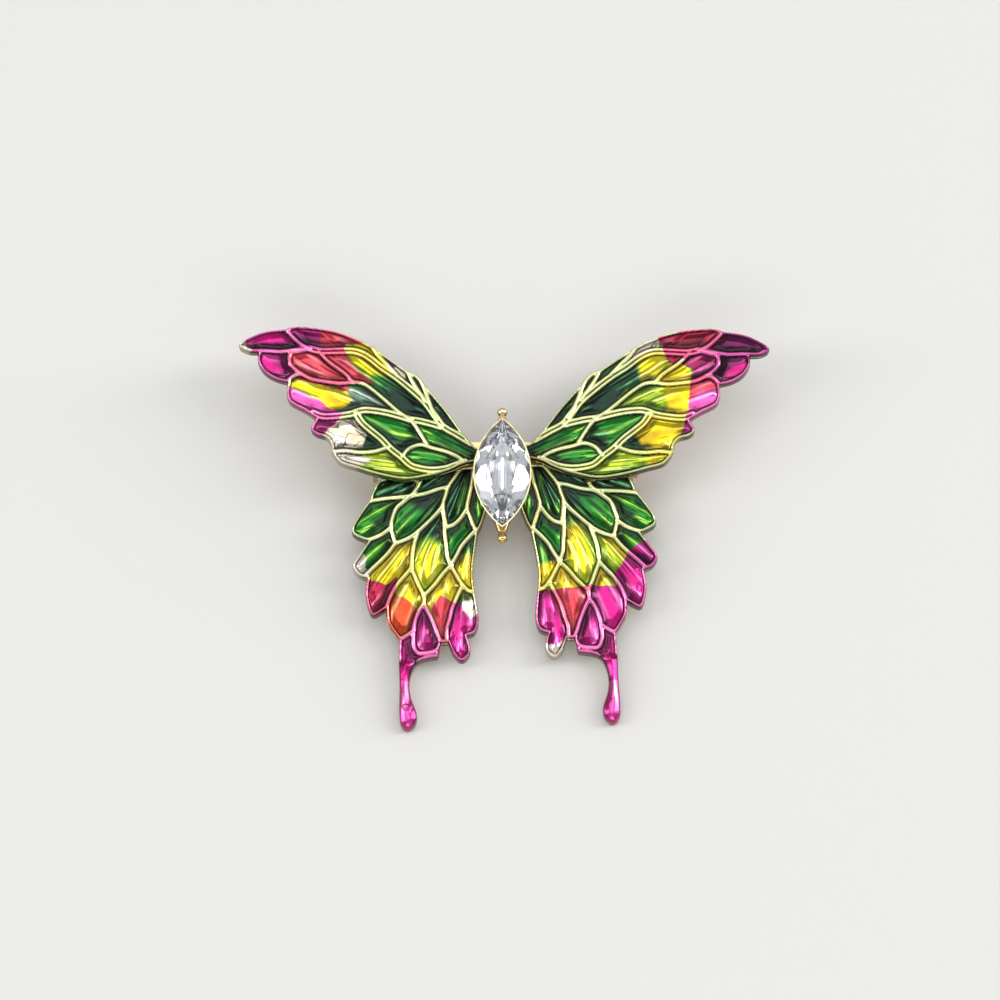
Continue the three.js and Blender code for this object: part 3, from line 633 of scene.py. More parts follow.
LEFT_HIND_PATCHES = [
    ("smoke", 0.3, [(13.6, -0.9), (11.7, -0.6), (9.0, -0.5), (5.4, 0.4), (2.3, 3.4), (10.1, 2.9),
     (12.9, 1.1)]),
    ("smoke", 0.3, [(5.4, 0.2), (6.0, -2.0), (5.5, -4.0), (4.7, -2.2), (2.8, 2.0), (4.2, 2.3)]),
    ("smoke", 0.5, [(8.5, -4.5), (6.6, -2.4), (5.9, -2.0), (5.8, -4.2), (7.2, -5.1)]),
    ("smoke", 0.4, [(10.2, -0.8), (7.2, -0.3), (5.5, 0.1), (6.5, -1.8), (7.5, -2.5)]),
    ("lime", 0.6, [(9.1, -6.3), (7.4, -5.1), (6.0, -5.7), (5.7, -7.5), (8.1, -10.8), (9.3, -8.1)]),
    ("yellow", 0.6, [(13.8, -8.7), (12.4, -7.5), (10.7, -5.6), (9.0, -5.6), (9.2, -7.9),
     (10.6, -9.0), (11.9, -9.7)]),
    ("yellow", 0.4, [(11.7, -9.8), (10.4, -8.5), (9.2, -8.1), (8.1, -10.7), (5.5, -7.8),
     (4.2, -10.0), (5.4, -11.8), (8.2, -12.3), (10.5, -11.7), (11.7, -11.0)]),
    ("yellow", 0.7, [(5.0, -8.7), (4.2, -7.0), (2.9, -6.9), (2.8, -10.9), (4.3, -10.4)]),
    ("yellow", 0.6, [(8.6, -6.6), (7.2, -5.9), (6.4, -7.4), (7.3, -9.4), (8.4, -9.2)]),
    ("gold", 0.04, [(15.4, -8.3), (15.3, -6.9), (14.1, -6.1), (13.8, -6.9), (14.0, -7.8),
     (13.0, -8.3), (13.8, -8.7)]),
    ("crimson", 0.04, [(14.2, -8.7), (12.8, -9.2), (11.9, -9.6), (10.7, -8.7), (11.0, -10.0),
     (11.8, -12.0), (13.3, -12.8), (14.3, -11.3)]),
    ("orange", 0.06, [(10.6, -10.7), (9.5, -11.4), (8.7, -12.3), (9.2, -14.3), (10.6, -15.3),
     (12.2, -13.4), (11.9, -11.8), (11.1, -10.2)]),
    ("coral", 0.05, [(7.4, -12.1), (6.5, -10.8), (5.0, -11.7), (5.6, -13.0), (6.0, -15.4),
     (6.6, -15.4)]),
    ("magenta", 0.04, [(8.1, -11.4), (7.2, -13.4), (6.5, -15.4), (6.5, -17.2), (9.5, -17.1),
     (9.5, -14.3), (9.0, -12.5)]),
    ("magenta", 0.06, [(5.6, -12.2), (4.8, -11.5), (2.4, -11.4), (2.5, -14.1), (3.7, -14.7),
     (3.4, -17.7), (5.8, -17.6), (6.0, -15.4)]),
    ("gold", 0.15, [(4.5, -11.4), (3.1, -11.3), (2.9, -12.6), (3.6, -13.1), (4.3, -12.3)]),
    ("magenta", 0.04, [(11.2, -15.0), (10.2, -14.9), (9.4, -14.3), (9.3, -16.9), (6.1, -16.4),
     (6.1, -17.2), (9.1, -17.3), (9.9, -19.3), (11.3, -19.2)]),
    ("orchid", 0.05, [(11.3, -19.2), (9.6, -19.3), (8.7, -24.5), (11.3, -24.4)]),
]
RIGHT_HIND_PATCHES = [
    ("smoke", 0.3, [(5.6, -0.3), (9.5, -1.0), (13.5, -0.9), (12.8, 1.2), (5.7, 2.4), (3.1, 2.3)]),
    ("smoke", 0.3, [(3.7, 1.7), (5.3, 1.0), (5.6, -1.6), (4.8, -2.8), (3.8, -0.6)]),
    ("smoke", 0.4, [(5.7, -0.3), (7.6, -0.9), (7.9, -2.5), (6.6, -2.3)]),
    ("lime", 0.5, [(6.1, -3.7), (7.7, -4.1), (8.8, -7.3), (8.3, -10.5), (5.8, -8.0)]),
    ("lime", 0.5, [(8.8, -5.3), (10.6, -5.6), (12.1, -7.4), (10.9, -8.8), (9.5, -7.9)]),
    ("yellow", 0.5, [(6.0, -4.4), (7.6, -4.3), (8.6, -7.7), (8.1, -9.6), (6.2, -7.6)]),
    ("yellow", 0.5, [(9.8, -5.8), (10.8, -5.8), (13.3, -8.1), (11.5, -8.0)]),
    ("yellow", 0.4, [(2.9, -10.9), (3.2, -8.1), (5.0, -7.8), (6.0, -8.2), (8.3, -10.7),
     (9.3, -8.3), (11.4, -10.8)]),
    ("magenta", 0.04, [(2.7, -10.7), (4.2, -10.6), (6.8, -10.4), (8.9, -10.2), (11.1, -10.5),
     (10.7, -9.2), (11.5, -8.3), (12.3, -6.9), (13.3, -6.1), (14.5, -5.9), (16.2, -7.2),
     (14.4, -9.5), (14.5, -12.7), (12.1, -13.0), (11.5, -15.8), (12.2, -24.7), (8.8, -24.6),
     (9.0, -17.3), (6.7, -17.0), (6.3, -15.8), (5.1, -18.4), (3.1, -17.9), (2.1, -13.5)]),
    ("coral", 0.04, [(4.4, -10.6), (6.8, -10.4), (8.5, -10.3), (8.0, -11.7), (6.3, -15.4),
     (5.2, -12.8)]),
    ("gold", 0.12, [(3.5, -15.7), (4.7, -16.1), (6.0, -15.4), (5.9, -18.0), (3.1, -17.9)]),
    ("plum", 0.3, [(12.9, -6.9), (14.5, -7.5), (15.2, -8.1), (14.0, -8.5), (12.7, -7.6)]),
    ("orchid", 0.05, [(8.8, -19.8), (12.3, -19.9), (12.2, -24.7), (8.6, -24.6)]),
]
print("patches:", [len(p) for p in (LEFT_FORE_PATCHES, RIGHT_FORE_PATCHES, LEFT_HIND_PATCHES,
                                    RIGHT_HIND_PATCHES)])

# %% [markdown]
# ## Measuring from the drawn lines
# The relief of a wing follows from how far each point lies from the outline and from the
# nearest vein. A few array helpers measure that for all points of a mesh at once, and a smooth
# repeatable noise stands in for the hand of the model maker.

# %% Distances, masks and noise
def distance_to_line(points, line, closed=False):
    """Distance from each point to the nearest part of a line, and the nearest place on it."""
    best = np.full(len(points), 1e9)
    nearest = np.zeros_like(points)
    following = np.roll(line, -1, axis=0)
    count = len(line) if closed else len(line) - 1
    for a, b in zip(line[:count], following[:count]):
        step = b - a
        share = np.clip((points - a) @ step / max(step @ step, 1e-12), 0, 1)
        place = a + share[:, None] * step
        gap = np.linalg.norm(points - place, axis=1)
        closer = gap < best
        best[closer] = gap[closer]
        nearest[closer] = place[closer]
    return best, nearest


def is_inside(points, outline):
    inside = np.zeros(len(points), bool)
    x, y = points.T
    for (ax, ay), (bx, by) in zip(outline, np.roll(outline, -1, axis=0)):
        crosses = (ay > y) != (by > y)
        if ay != by:
            inside ^= crosses & (x < ax + (y - ay) * (bx - ax) / (by - ay))
    return inside


def ramp(value, start, end):
    t = np.clip((value - start) / (end - start), 0, 1)
    return t * t * (3 - 2 * t)


def soft_noise(u, v, seed):
    """Smooth noise between 0 and 1 on two coordinates, always the same for one seed."""
    table = np.random.default_rng(seed).random((64, 64))
    iu, iv = np.floor(u).astype(int), np.floor(v).astype(int)
    fu, fv = u - iu, v - iv
    fu, fv = fu * fu * (3 - 2 * fu), fv * fv * (3 - 2 * fv)
    iu, iv, ju, jv = iu % 64, iv % 64, (iu + 1) % 64, (iv + 1) % 64
    low = table[iu, iv] * (1 - fu) + table[ju, iv] * fu
    high = table[iu, jv] * (1 - fu) + table[ju, jv] * fu
    return low * (1 - fv) + high * fv


# %% [markdown]
# ## The relief
# A vein is a raised wire with a fine groove scribed along each side. Between the veins the cell
# swells a little, and leaf-shaped ridges run along it from the root of the wing to its margin.
# The rim is a wire as well, and past it the casting rounds off. Everything is a height above the
# plain plate, so the same function can serve both pairs of wings.

# %% Relief of a wing
WIRE_HEIGHT = 0.2
WIRE_WIDTH = 0.25  # from the middle of a wire to its foot
TWIN_GAP = 0.21  # from the middle of a twin wire to each of its two strands
TWIN_WIDTH = 0.2
RIM_MIDDLE = 0.14  # from the outline to the middle of the rim's wire
MELT = 0.05  # how much wires thicken where they meet
CELL_SWELL = 0.14
GROOVE_DEPTH = 0.045
LEAF_HEIGHT = 0.09
HOLLOW_DEPTH = 0.04
TAIL_CROWN = 0.22
RIM_FALL = 0.16
TAIL_BEAD = np.array([10.25, -21.85])


def flow_from(points, root, fan):
    """How far along and across a wing each point lies, seen from the root it fans out of."""
    x, y = (points - root).T
    return np.hypot(x, y), np.arctan2(y, x) * fan


def leaf_ridges(along, across, seed):
    """Long narrow ridges side by side, each of them stronger and weaker along its length."""
    lane = across * 0.72 + 1.3 * soft_noise(along * 0.2, across * 0.3, seed)
    number = np.floor(lane)
    crest = 1 - np.abs(2 * (lane - number) - 1)
    strength = soft_noise(along * 0.38 + number * 5.3, number * 3.7, seed + 1)
    return ramp(crest, 0.3, 0.95) * ramp(strength, 0.25, 0.65), ramp(1 - strength, 0.4, 0.85)


def tail_end_relief(points):
    """A small round bead near the end of the tail."""
    from_bead = np.linalg.norm(points - TAIL_BEAD, axis=1)
    return 0.32 * np.sqrt(np.clip(1 - (from_bead / 0.34) ** 2, 0, 1))


def wire_distances(points, outline, veins, rimmed):
    """Distance to the outline, to the nearest single wire or rim, and to a strand of a twin."""
    edge, _ = distance_to_line(points, outline, closed=True)
    rim = np.abs(edge - RIM_MIDDLE) + 0.25 * (1 - rimmed)
    reached = np.exp(-(rim + 0.1) / MELT)
    twin = np.full(len(points), 1e9)
    for wires, line in veins:
        gap, _ = distance_to_line(points, line)
        if wires == 2:
            twin = np.minimum(twin, np.abs(gap - TWIN_GAP))
        else:
            reached += np.exp(-gap / MELT)
    return edge, -MELT * np.log(reached + 1e-30), twin


def wing_relief(points, wing):
    """Height over the plate, where the wires, grooves, leaf ridges and hollows are, and where
    painted shade falls at the inner end of a cell.
    """
    outline, veins = wing["outline"], wing["veins"]
    rimmed = 1 - wing["tail"](points)
    edge, single, twin = wire_distances(points, outline, veins, rimmed)
    # Painted shade at the inner end of a cell: strongest where a wire lies just past a point
    # towards the root.
    inwards = np.array(wing["root"]) - points
    inwards = inwards / np.linalg.norm(inwards, axis=1)[:, None]
    _, single_in, twin_in = wire_distances(points + 0.6 * inwards, outline, veins, rimmed)
    cell_end_shade = 1 - ramp(np.minimum(single_in - WIRE_WIDTH, twin_in - TWIN_WIDTH), 0, 0.55)
    wire = np.maximum(np.clip(1 - (single / WIRE_WIDTH) ** 2, 0, 1) ** 0.8,
                      0.9 * np.clip(1 - (twin / TWIN_WIDTH) ** 2, 0, 1) ** 0.8)
    foot = np.minimum(single - WIRE_WIDTH, twin - TWIN_WIDTH)
    groove = np.exp(-((foot - 0.02) / 0.055) ** 2) * (edge > 0.12)
    along, across = flow_from(points, wing["root"], wing["fan"])
    ridge, hollow = leaf_ridges(along, across, 5)
    away = ramp(foot, 0.04, 0.3)
    leaf, hollow = ridge * away, hollow * away
    swell = ramp(foot, 0, 0.8)
    height = (WIRE_HEIGHT * wire - GROOVE_DEPTH * groove + CELL_SWELL * swell + LEAF_HEIGHT * leaf
              - HOLLOW_DEPTH * hollow)
    height = height + (1 - rimmed) * TAIL_CROWN * np.sqrt(np.clip(edge / 0.5, 0, 1))
    height = height - RIM_FALL * ramp(RIM_MIDDLE - edge, 0, RIM_MIDDLE)
    return height, (foot, wire, groove, leaf, hollow, cell_end_shade, edge)


# %% [markdown]
# ## Colour of the lacquer
# The patches are painted one over another, each with its own softness. Then the depth of the
# film decides the tone: deep in the hollows and beside the wires, light on ridges and wires.
# Over that come painted shade in the grooves, at the inner end of each cell and round the root
# by the stone, and a painted highlight along the leaf ridges.

# %% Painting
ROOT_SHADE = np.array([2.0, 2.3])  # painted shade is darkest round this point, by the stone


def paint(points, patches, ground="green"):
    """The four tones at each point, and how much of it is bare plate."""
    tones = [np.tile(linear(hex_colour), (len(points), 1)) for hex_colour in TONES[ground]]
    bare = np.zeros((len(points), 1))
    for number, (colour, softness, corners) in enumerate(patches):
        corners = np.array(corners)
        gap, _ = distance_to_line(points, corners, closed=True)
        signed = np.where(is_inside(points, corners), gap, -gap)
        signed = signed + 0.25 * (soft_noise(points[:, 0] * 1.3, points[:, 1] * 1.3, number) - 0.5)
        cover = ramp(signed, -softness, softness)[:, None]
        for layer, hex_colour in zip(tones, TONES[colour]):
            layer += (np.array(linear(hex_colour)) - layer) * cover
        bare += ((colour == "gold") - bare) * cover
    return *tones, bare


def lacquer_colour(points, patches, wing, foot, wire, groove, leaf, hollow, cell_end_shade, edge):
    """Thick lacquer deep in the hollows and beside the wires, painted shade in the grooves, at the
    inner end of a cell and by the stone, light on ridges with a painted highlight, and darker still
    at the very edge.
    """
    deep, body, light, on_top, bare = paint(points, patches)
    along, across = flow_from(points, wing["root"], wing["fan"])
    # Painted shade by the stone: 0 at ROOT_SHADE, rising to 1 about four millimetres away.
    root_shade_falloff = ramp(np.linalg.norm(points - ROOT_SHADE, axis=1), 0.5, 4.2)
    cloud = soft_noise(along * 0.5, across * 0.9, 21)
    fleck = soft_noise(along * 1.6 + 9, across * 4.2, 33)
    crack = soft_noise(along * 0.8, across * 1.7, 45)
    # The random cloud is uneven lacquer; the darker tone in the hollows and next to the wires is
    # thicker lacquer together with painted shade.
    depth = 0.42 + 0.58 * ramp(cloud, 0.15, 0.6) - 0.4 * hollow
    depth = np.clip(depth, 0, 1) * (0.3 + 0.7 * ramp(foot, 0.02, 0.3))
    # Painted shade at the inner end of a cell pulls the colour towards the deep tone.
    depth = depth * (1 - 0.75 * cell_end_shade)
    colour = deep + (body - deep) * depth[:, None]
    # Leaf ridges turn to the light tone: partly metal showing through thin lacquer, partly a
    # painted highlight, broken up by the fleck noise and weaker in the painted shade at the inner
    # end of a cell.
    glint = np.clip(0.85 * leaf * (0.4 + 0.75 * fleck) * (1 - 0.6 * cell_end_shade), 0, 1)[:, None]
    colour = colour + (light - colour) * glint
    # More painted shade right beside the wire at the inner end of a cell.
    colour = colour * (1 - 0.45 * cell_end_shade * ramp(foot, -0.02, 0.05))[:, None]
    # Thick lacquer and painted shade make the scribed grooves nearly black.
    colour = colour * (1 - 0.96 * np.clip(groove, 0, 1)[:, None])
    colour = colour * (1 - 0.9 * bare * (1 - ramp(np.abs(crack - 0.5), 0.015, 0.06)[:, None]))
    # Painted shade by the stone darkens the colour towards ROOT_SHADE, and dims the shine of the
    # wires there too.
    colour = colour * (0.4 + 0.6 * root_shade_falloff)[:, None]
    thin = ramp(wire, 0.25, 0.6) * (0.55 + 0.45 * root_shade_falloff)
    colour = colour + (on_top - colour) * thin[:, None]
    return deep * 0.6 + (colour - deep * 0.6) * ramp(edge, 0.01, 0.07)[:, None]


# %% [markdown]
# ## Building the wings
# Each wing is two pieces on one outline. The lacquered skin is a fine grid trimmed to the
# outline and raised by the relief, with walls straight down round its border. The casting under
# it gives the lower walls and the back, which is scooped out as real castings are to save metal
# and weight. Lacquer has run over its walls, and the back is bare plate.

# %% Wing pieces
GRID = {"fore": 0.057, "hind": 0.051}
CASTING_GRID = 0.2
SKIN = 0.45
LEDGE_Z = 4.16  # the hindwings rest on the base bar here


def fore_height(x, y):
    """The forewing rises from its root and curls up towards its tip."""
    span = np.maximum(x - 2, 0)
    return 5.9 + 0.06 * span + 0.0016 * span ** 2


def hind_height(x, y):
    """The hindwing falls away evenly towards its tail."""
    return 4.65 + 0.145 * np.minimum(y, 0)


def no_tail(points):
    return np.zeros(len(points))


def hind_tail(points):
    """The long tail is a plain rounded strip without a raised rim."""
    return ramp(-points[:, 1], 16.9, 17.8)


# The last four say how a pair is set: the point it turns about, the turn in degrees, the shift
# sideways, and the lift of the right wing.
PAIRS = {
    "fore": {"outline": fore_outline, "veins": fore_veins, "height": fore_height,
             "thickness": 1.0, "root": (-3.5, 0.2), "fan": 24, "tail": no_tail,
             "centre": (13.4, 8.3), "turn": -0.95, "shift": 0.1, "lift": 0.0},
    "hind": {"outline": hind_outline, "veins": hind_veins, "height": hind_height,
             "thickness": 1.1, "root": (3.0, 3.0), "fan": 17, "tail": hind_tail,
             "centre": (7.8, -10.9), "turn": 1.79, "shift": 0.39, "lift": 0.28},
}


def vertex_places(piece):
    places = np.empty(len(piece.data.vertices) * 3)
    piece.data.vertices.foreach_get("co", places)
    return places.reshape(-1, 3)


def put_vertices(piece, places):
    piece.data.vertices.foreach_set("co", np.ascontiguousarray(places).ravel())
    piece.data.update()


def trimmed_sheet(name, outline, spacing):
    """A flat grid cut to an outline, with its border drawn onto the outline."""
    low, high = outline.min(axis=0) - spacing, outline.max(axis=0) + spacing
    counts = np.ceil((high - low) / spacing).astype(int)
    sheet = add(bpy.ops.mesh.primitive_grid_add, name, size=1, x_subdivisions=int(counts[0]),
                y_subdivisions=int(counts[1]))
    sheet.data.transform(Matrix.Translation((*(low + high) / 2, 0))
                         @ Matrix.Diagonal((*(high - low), 1, 1)))
    outside = ~is_inside(vertex_places(sheet)[:, :2], outline)
    pick(sheet, "VERT", lambda vertex: outside[vertex.index])
    bpy.ops.mesh.delete(type="VERT")
    bpy.ops.mesh.select_all(action="SELECT")
    bpy.ops.mesh.delete_loose()
    done()
    uses = np.zeros(len(sheet.data.edges), int)
    loop_edges = np.empty(len(sheet.data.loops), int)
    sheet.data.loops.foreach_get("edge_index", loop_edges)
    np.add.at(uses, loop_edges, 1)
    ends = np.empty(len(sheet.data.edges) * 2, int)
    sheet.data.edges.foreach_get("vertices", ends)
    border = np.unique(ends.reshape(-1, 2)[uses == 1])
    places = vertex_places(sheet)
    _, places[border, :2] = distance_to_line(places[border, :2], outline, closed=True)
    put_vertices(sheet, places)
    return sheet


def place_wing(piece, side, pair):
    """Mirror a wing for the left side, and set it on the body as its pair is set."""
    centre, turn, shift, lift = (PAIRS[pair][word] for word in ("centre", "turn", "shift", "lift"))
    places = vertex_places(piece)
    places[:, 0] *= side
    angle = math.radians(turn)
    x, y = places[:, 0] - side * centre[0], places[:, 1] - centre[1]
    places[:, 0] = x * math.cos(angle) - y * math.sin(angle) + side * centre[0] + shift
    places[:, 1] = x * math.sin(angle) + y * math.cos(angle) + centre[1] + side * lift
    put_vertices(piece, places)
    pick_all(piece)
    bpy.ops.mesh.normals_make_consistent(inside=False)
    done()


def thicken(piece, thickness):
    solid = piece.modifiers.new("thicken", "SOLIDIFY")
    solid.thickness = thickness
    solid.offset = -1
    apply_modifiers(piece)


def wall_down(piece, depth):
    """Give a sheet walls from its border straight down, and close it underneath."""
    activate(piece)
    bpy.ops.object.mode_set(mode="EDIT")
    bpy.ops.mesh.select_mode(type="EDGE")
    bpy.ops.mesh.select_all(action="DESELECT")
    bpy.ops.mesh.select_non_manifold()
    bpy.ops.mesh.extrude_edges_move(TRANSFORM_OT_translate={"value": (0, 0, -depth)})
    bpy.ops.mesh.edge_face_add()
    bpy.ops.mesh.quads_convert_to_tris()
    done()


def copy_of(piece, name):
    twin = piece.copy()
    twin.data = piece.data.copy()
    twin.name = twin.data.name = name
    bpy.context.collection.objects.link(twin)
    return twin


def tint_points(piece, colour):
    """Keep a colour at each point of a mesh, for the lacquer finish to read."""
    layer = piece.data.color_attributes.new("lacquer", "FLOAT_COLOR", "POINT")
    layer.data.foreach_set("color", np.hstack([colour, np.ones((len(colour), 1))]).ravel())


def wing_skins(pair, patches_by_side):
    wing = PAIRS[pair]
    master = trimmed_sheet(f"{pair}_skin_master", wing["outline"], GRID[pair])
    places = vertex_places(master)
    flat = places[:, :2].copy()
    relief, features = wing_relief(flat, wing)
    places[:, 2] = wing["height"](*flat.T) + relief
    put_vertices(master, places)
    for side, patches in patches_by_side.items():
        word = "right" if side > 0 else "left"
        skin = copy_of(master, f"{word}_{pair}wing_lacquer")
        if pair == "hind" and word == "left":  # only this tail has a bead
            beaded = places.copy()
            beaded[:, 2] += tail_end_relief(flat)
            put_vertices(skin, beaded)
        tint_points(skin, lacquer_colour(flat, patches, wing, *features))
        wall_down(skin, SKIN)
        place_wing(skin, side, pair)
        smooth(skin, 60)
        settle(skin, "brooch_body", lacquer, f"{pair}wing_lacquer", f"{word}_{pair}wing_enamel")
    bpy.data.objects.remove(master)


def wing_castings(pair, patches_by_side):
    outline, thickness = PAIRS[pair]["outline"], PAIRS[pair]["thickness"]
    master = trimmed_sheet(f"{pair}_casting_master", outline, CASTING_GRID)
    count = len(master.data.vertices)
    thicken(master, thickness)
    places = vertex_places(master)
    flat = places[:, :2]
    edge, _ = distance_to_line(flat, outline, closed=True)
    plain = PAIRS[pair]["height"](*flat.T)
    top = plain - 0.5 - 0.12 * ramp(0.13 - edge, 0, 0.13)
    bottom = plain - thickness + 0.3 * ramp(edge, 0.45, 0.8)
    bottom = bottom + 0.06 * (soft_noise(flat[:, 0] * 1.1, flat[:, 1] * 1.1, 3) - 0.5)
    if pair == "hind":
        bottom = np.maximum(bottom, LEDGE_Z * (flat[:, 1] > 0.85))
    places[:count, 2] = top[:count]
    places[count:, 2] = np.minimum(bottom, top - 0.12)[count:]
    put_vertices(master, places)
    for side, patches in patches_by_side.items():
        word = "right" if side > 0 else "left"
        casting = copy_of(master, f"{word}_{pair}wing_cast")
        tint_points(casting, 0.7 * paint(flat, patches)[0])
        place_wing(casting, side, pair)
        smooth(casting, 45)
        settle(casting, "brooch_body", back_plate, "gold_plate", f"{word}_{pair}wing_casting")
        casting.data.materials.append(lacquer)
        walls = [abs(face.normal.z) < 0.5 and max(edge[list(face.vertices)]) < 0.05
                 for face in casting.data.polygons]
        casting.data.polygons.foreach_set("material_index", walls)
    bpy.data.objects.remove(master)


for pair, patches_by_side in (("fore", {1: RIGHT_FORE_PATCHES, -1: LEFT_FORE_PATCHES}),
                              ("hind", {1: RIGHT_HIND_PATCHES, -1: LEFT_HIND_PATCHES})):
    wing_skins(pair, patches_by_side)
    wing_castings(pair, patches_by_side)

# %% [markdown]
# ## The stone
# A navette is the shape that two equal circles share. So the blank is one cylinder crossed with
# another, and its facets are plane cuts, as on a grinding lap: mains all round the crown, halves
# by the girdle, stars by the table, and the same plan on the back down to a keel.

# %% Stone blank and facets
GIRDLE_LOW, GIRDLE_TOP, TABLE_Z, KEEL_Z = 8.35, 8.6, 9.8, 6.5
STONE = (5.45, 11.15)
TABLE = (2.9, 6.8)
KEEL = (0.3, 3.3)


def navette_block(name, width, length, low, high, sides=192):
    """A prism with a navette outline, as the shared part of two cylinders."""
    half, reach = width / 2, length / 2
    radius = (reach ** 2 + half ** 2) / (2 * half)
    blanks = [add(bpy.ops.mesh.primitive_cylinder_add, f"{name}_{word}", vertices=sides,
                  radius=radius, depth=high - low, location=(shift, 0, (low + high) / 2))
              for word, shift in (("a", half - radius), ("b", radius - half))]
    block = combine(blanks[0], blanks[1], "INTERSECT")
    block.name = block.data.name = name
    return block


def reach_of(angle, width, length):
    """How far a navette reaches in a direction, and the point where it does."""
    half, reach = width / 2, length / 2
    radius = (reach ** 2 + half ** 2) / (2 * half)
    limit = math.asin(reach / radius)
    side = 1 if math.cos(angle) >= 0 else -1
    lean = math.asin(max(-1, min(1, math.sin(angle))))
    if abs(lean) <= limit:
        point = Vector((side * (radius * math.cos(lean) - radius + half),
                        radius * math.sin(lean), 0))
    else:
        point = Vector((0, math.copysign(reach, lean), 0))
    return point.x * math.cos(angle) + point.y * math.sin(angle), point


def grind(stone, angle, slope, point):
    """Cut one facet: the part of the stone outside the plane is taken off and the cut closed."""
    normal = Vector((math.cos(angle) * math.sin(slope), math.sin(angle) * math.sin(slope),
                     math.cos(slope)))
    cut_along(stone, point, normal, use_fill=True, clear_outer=True, threshold=1e-5)


def around(angles):
    """The same facet angles on the other three quarters of the stone."""
    turned = {turn % 360 for a in angles for turn in (a, -a, 180 - a, 180 + a)}
    return [math.radians(a) for a in sorted(turned)]


def cut_stone():
    """Each row of facets: its angles, how much steeper than the mains it is cut above and below
    the girdle, in degrees, and how far over the girdle's edge."""
    stone = navette_block("marquise_stone_cut", *STONE, KEEL_Z, TABLE_Z)
    mains, halves, stars = around([0, 27, 45, 90]), around([14, 36, 51, 68]), around([14, 36, 64])
    rise, drop = TABLE_Z - GIRDLE_TOP, GIRDLE_LOW - KEEL_Z
    for angles, above, below, over in ((mains, 0, 0, 0), (halves, 9, 6, 0.04)):
        for angle in angles:
            outer, point = reach_of(angle, *STONE)
            table, keel = reach_of(angle, *TABLE)[0], reach_of(angle, *KEEL)[0]
            crown = math.atan2(rise, outer - table) + math.radians(above)
            back = math.atan2(drop, outer - keel) + math.radians(below)
            point.z = GIRDLE_TOP - over
            grind(stone, angle, crown, point)
            point.z = GIRDLE_LOW + over
            grind(stone, angle, math.pi - back, point)
    for angle in stars:
        inner, point = reach_of(angle, *TABLE)
        point.z = TABLE_Z
        point.xy *= 0.86
        grind(stone, angle, math.radians(17), point)
    return stone


stone = cut_stone()
facets = len(stone.data.polygons)
foil = copy_of(stone, "stone_back_foil")
soften(stone, 0.012, segments=1, angle=4)
settle(stone, "brooch_body", stone_glass, "clear_stone", "marquise_stone")
print("faces on the stone before its edges were eased:", facets)

# %% [markdown]
# ## Foil and cup
# Cheap clear stones have a mirror painted on the back, which is what makes them so bright. The
# foil is a copy of the stone's back, moved off it by the thickness of a glue film. The cup is a
# navette block that is narrowed to its foot. A straight pocket for the girdle is cut into it, and
# under that a sloping seat for the back of the stone.

# %% Foil and setting
GLUE_FILM = 0.05
CUP_FOOT_Z, CUP_FLOOR_Z, SEAT_Z, CUP_RIM_Z = 5.95, 6.3, 8.2, 8.58
FOOT_SHARE = 0.62  # of the cup's outline, at its foot


def make_foil(shell):
    pick(shell, "FACE", lambda face: face.center.z > GIRDLE_LOW - 0.02)
    bpy.ops.mesh.delete(type="FACE")
    bpy.ops.mesh.select_all(action="SELECT")
    bpy.ops.transform.shrink_fatten(value=GLUE_FILM)
    done()
    solid = shell.modifiers.new("layer", "SOLIDIFY")
    solid.thickness = 0.08
    solid.offset = 1
    apply_modifiers(shell)
    return settle(shell, "brooch_body", foil_mirror, "silver_foil", "stone_foil")


def make_cup():
    """A tapered navette with a pocket: straight at the rim, then sloping down to the floor."""
    cup = navette_block("bezel_cup", STONE[0] + 0.3, STONE[1] + 0.32, CUP_FOOT_Z, CUP_RIM_Z)
    pick(cup, "FACE", lambda face: face.normal.z < -0.9)
    resize_picked((FOOT_SHARE, FOOT_SHARE, 1), (0, 0, CUP_FOOT_Z))
    room = STONE[0] + 0.06, STONE[1] + 0.08
    combine(cup, navette_block("pocket", *room, SEAT_Z, CUP_RIM_Z + 0.42), "DIFFERENCE")
    seat = navette_block("seat", *room, CUP_FLOOR_Z, SEAT_Z + 0.0001)
    pick(seat, "FACE", lambda face: face.normal.z < -0.9)
    resize_picked((0.16, 0.36, 1), (0, 0, CUP_FLOOR_Z))
    combine(cup, seat, "DIFFERENCE")
    soften(cup, 0.025, segments=2, angle=50)
    smooth(cup, 35)
    return settle(cup, "brooch_body", gold_plate, "gold_plate", "stone_setting")


make_foil(foil)
make_cup()

# %% [markdown]
# ## Body of the butterfly
# A tapered bar runs under the cup as the body, with a round bead for the head and a smaller one
# for the tail. The beads are turned, with a short neck where they are soldered on.

# %% Thorax bar and beads
def make_thorax():
    low, high = node_box("thorax_bar")
    bar = add_block("thorax_bar_cast", low, high)
    for y in (low.y + 2.6, high.y - 2.6):
        cut_along(bar, (0, y, 0), (0, 1, 0))
    pick(bar, "FACE", lambda face: abs(face.normal.y) > 0.9)
    resize_picked((0.36 / 1.15, 1, 1), (0, 0, 5))
    soften(bar, 0.16, segments=4, angle=25)
    smooth(bar, 50)
    return settle(bar, "brooch_body", gold_plate, "gold_plate", "thorax_bar")


def make_bead(name, node, radius, towards):
    low, high = node_box(node)
    z = (low.z + high.z) / 2
    y = high.y - radius if towards > 0 else low.y + radius
    ball = add(bpy.ops.mesh.primitive_uv_sphere_add, name, segments=64, ring_count=32,
               radius=radius, location=(0, y, z))
    neck_end = low.y if towards > 0 else high.y
    neck = add_rod(f"{name}_neck", 0.28, (0, y, z), (0, neck_end, z))
    combine(ball, neck, "UNION")
    soften(ball, 0.03, segments=2, angle=50)
    smooth(ball, 40)
    return settle(ball, "brooch_body", gold_plate, "gold_plate", node)


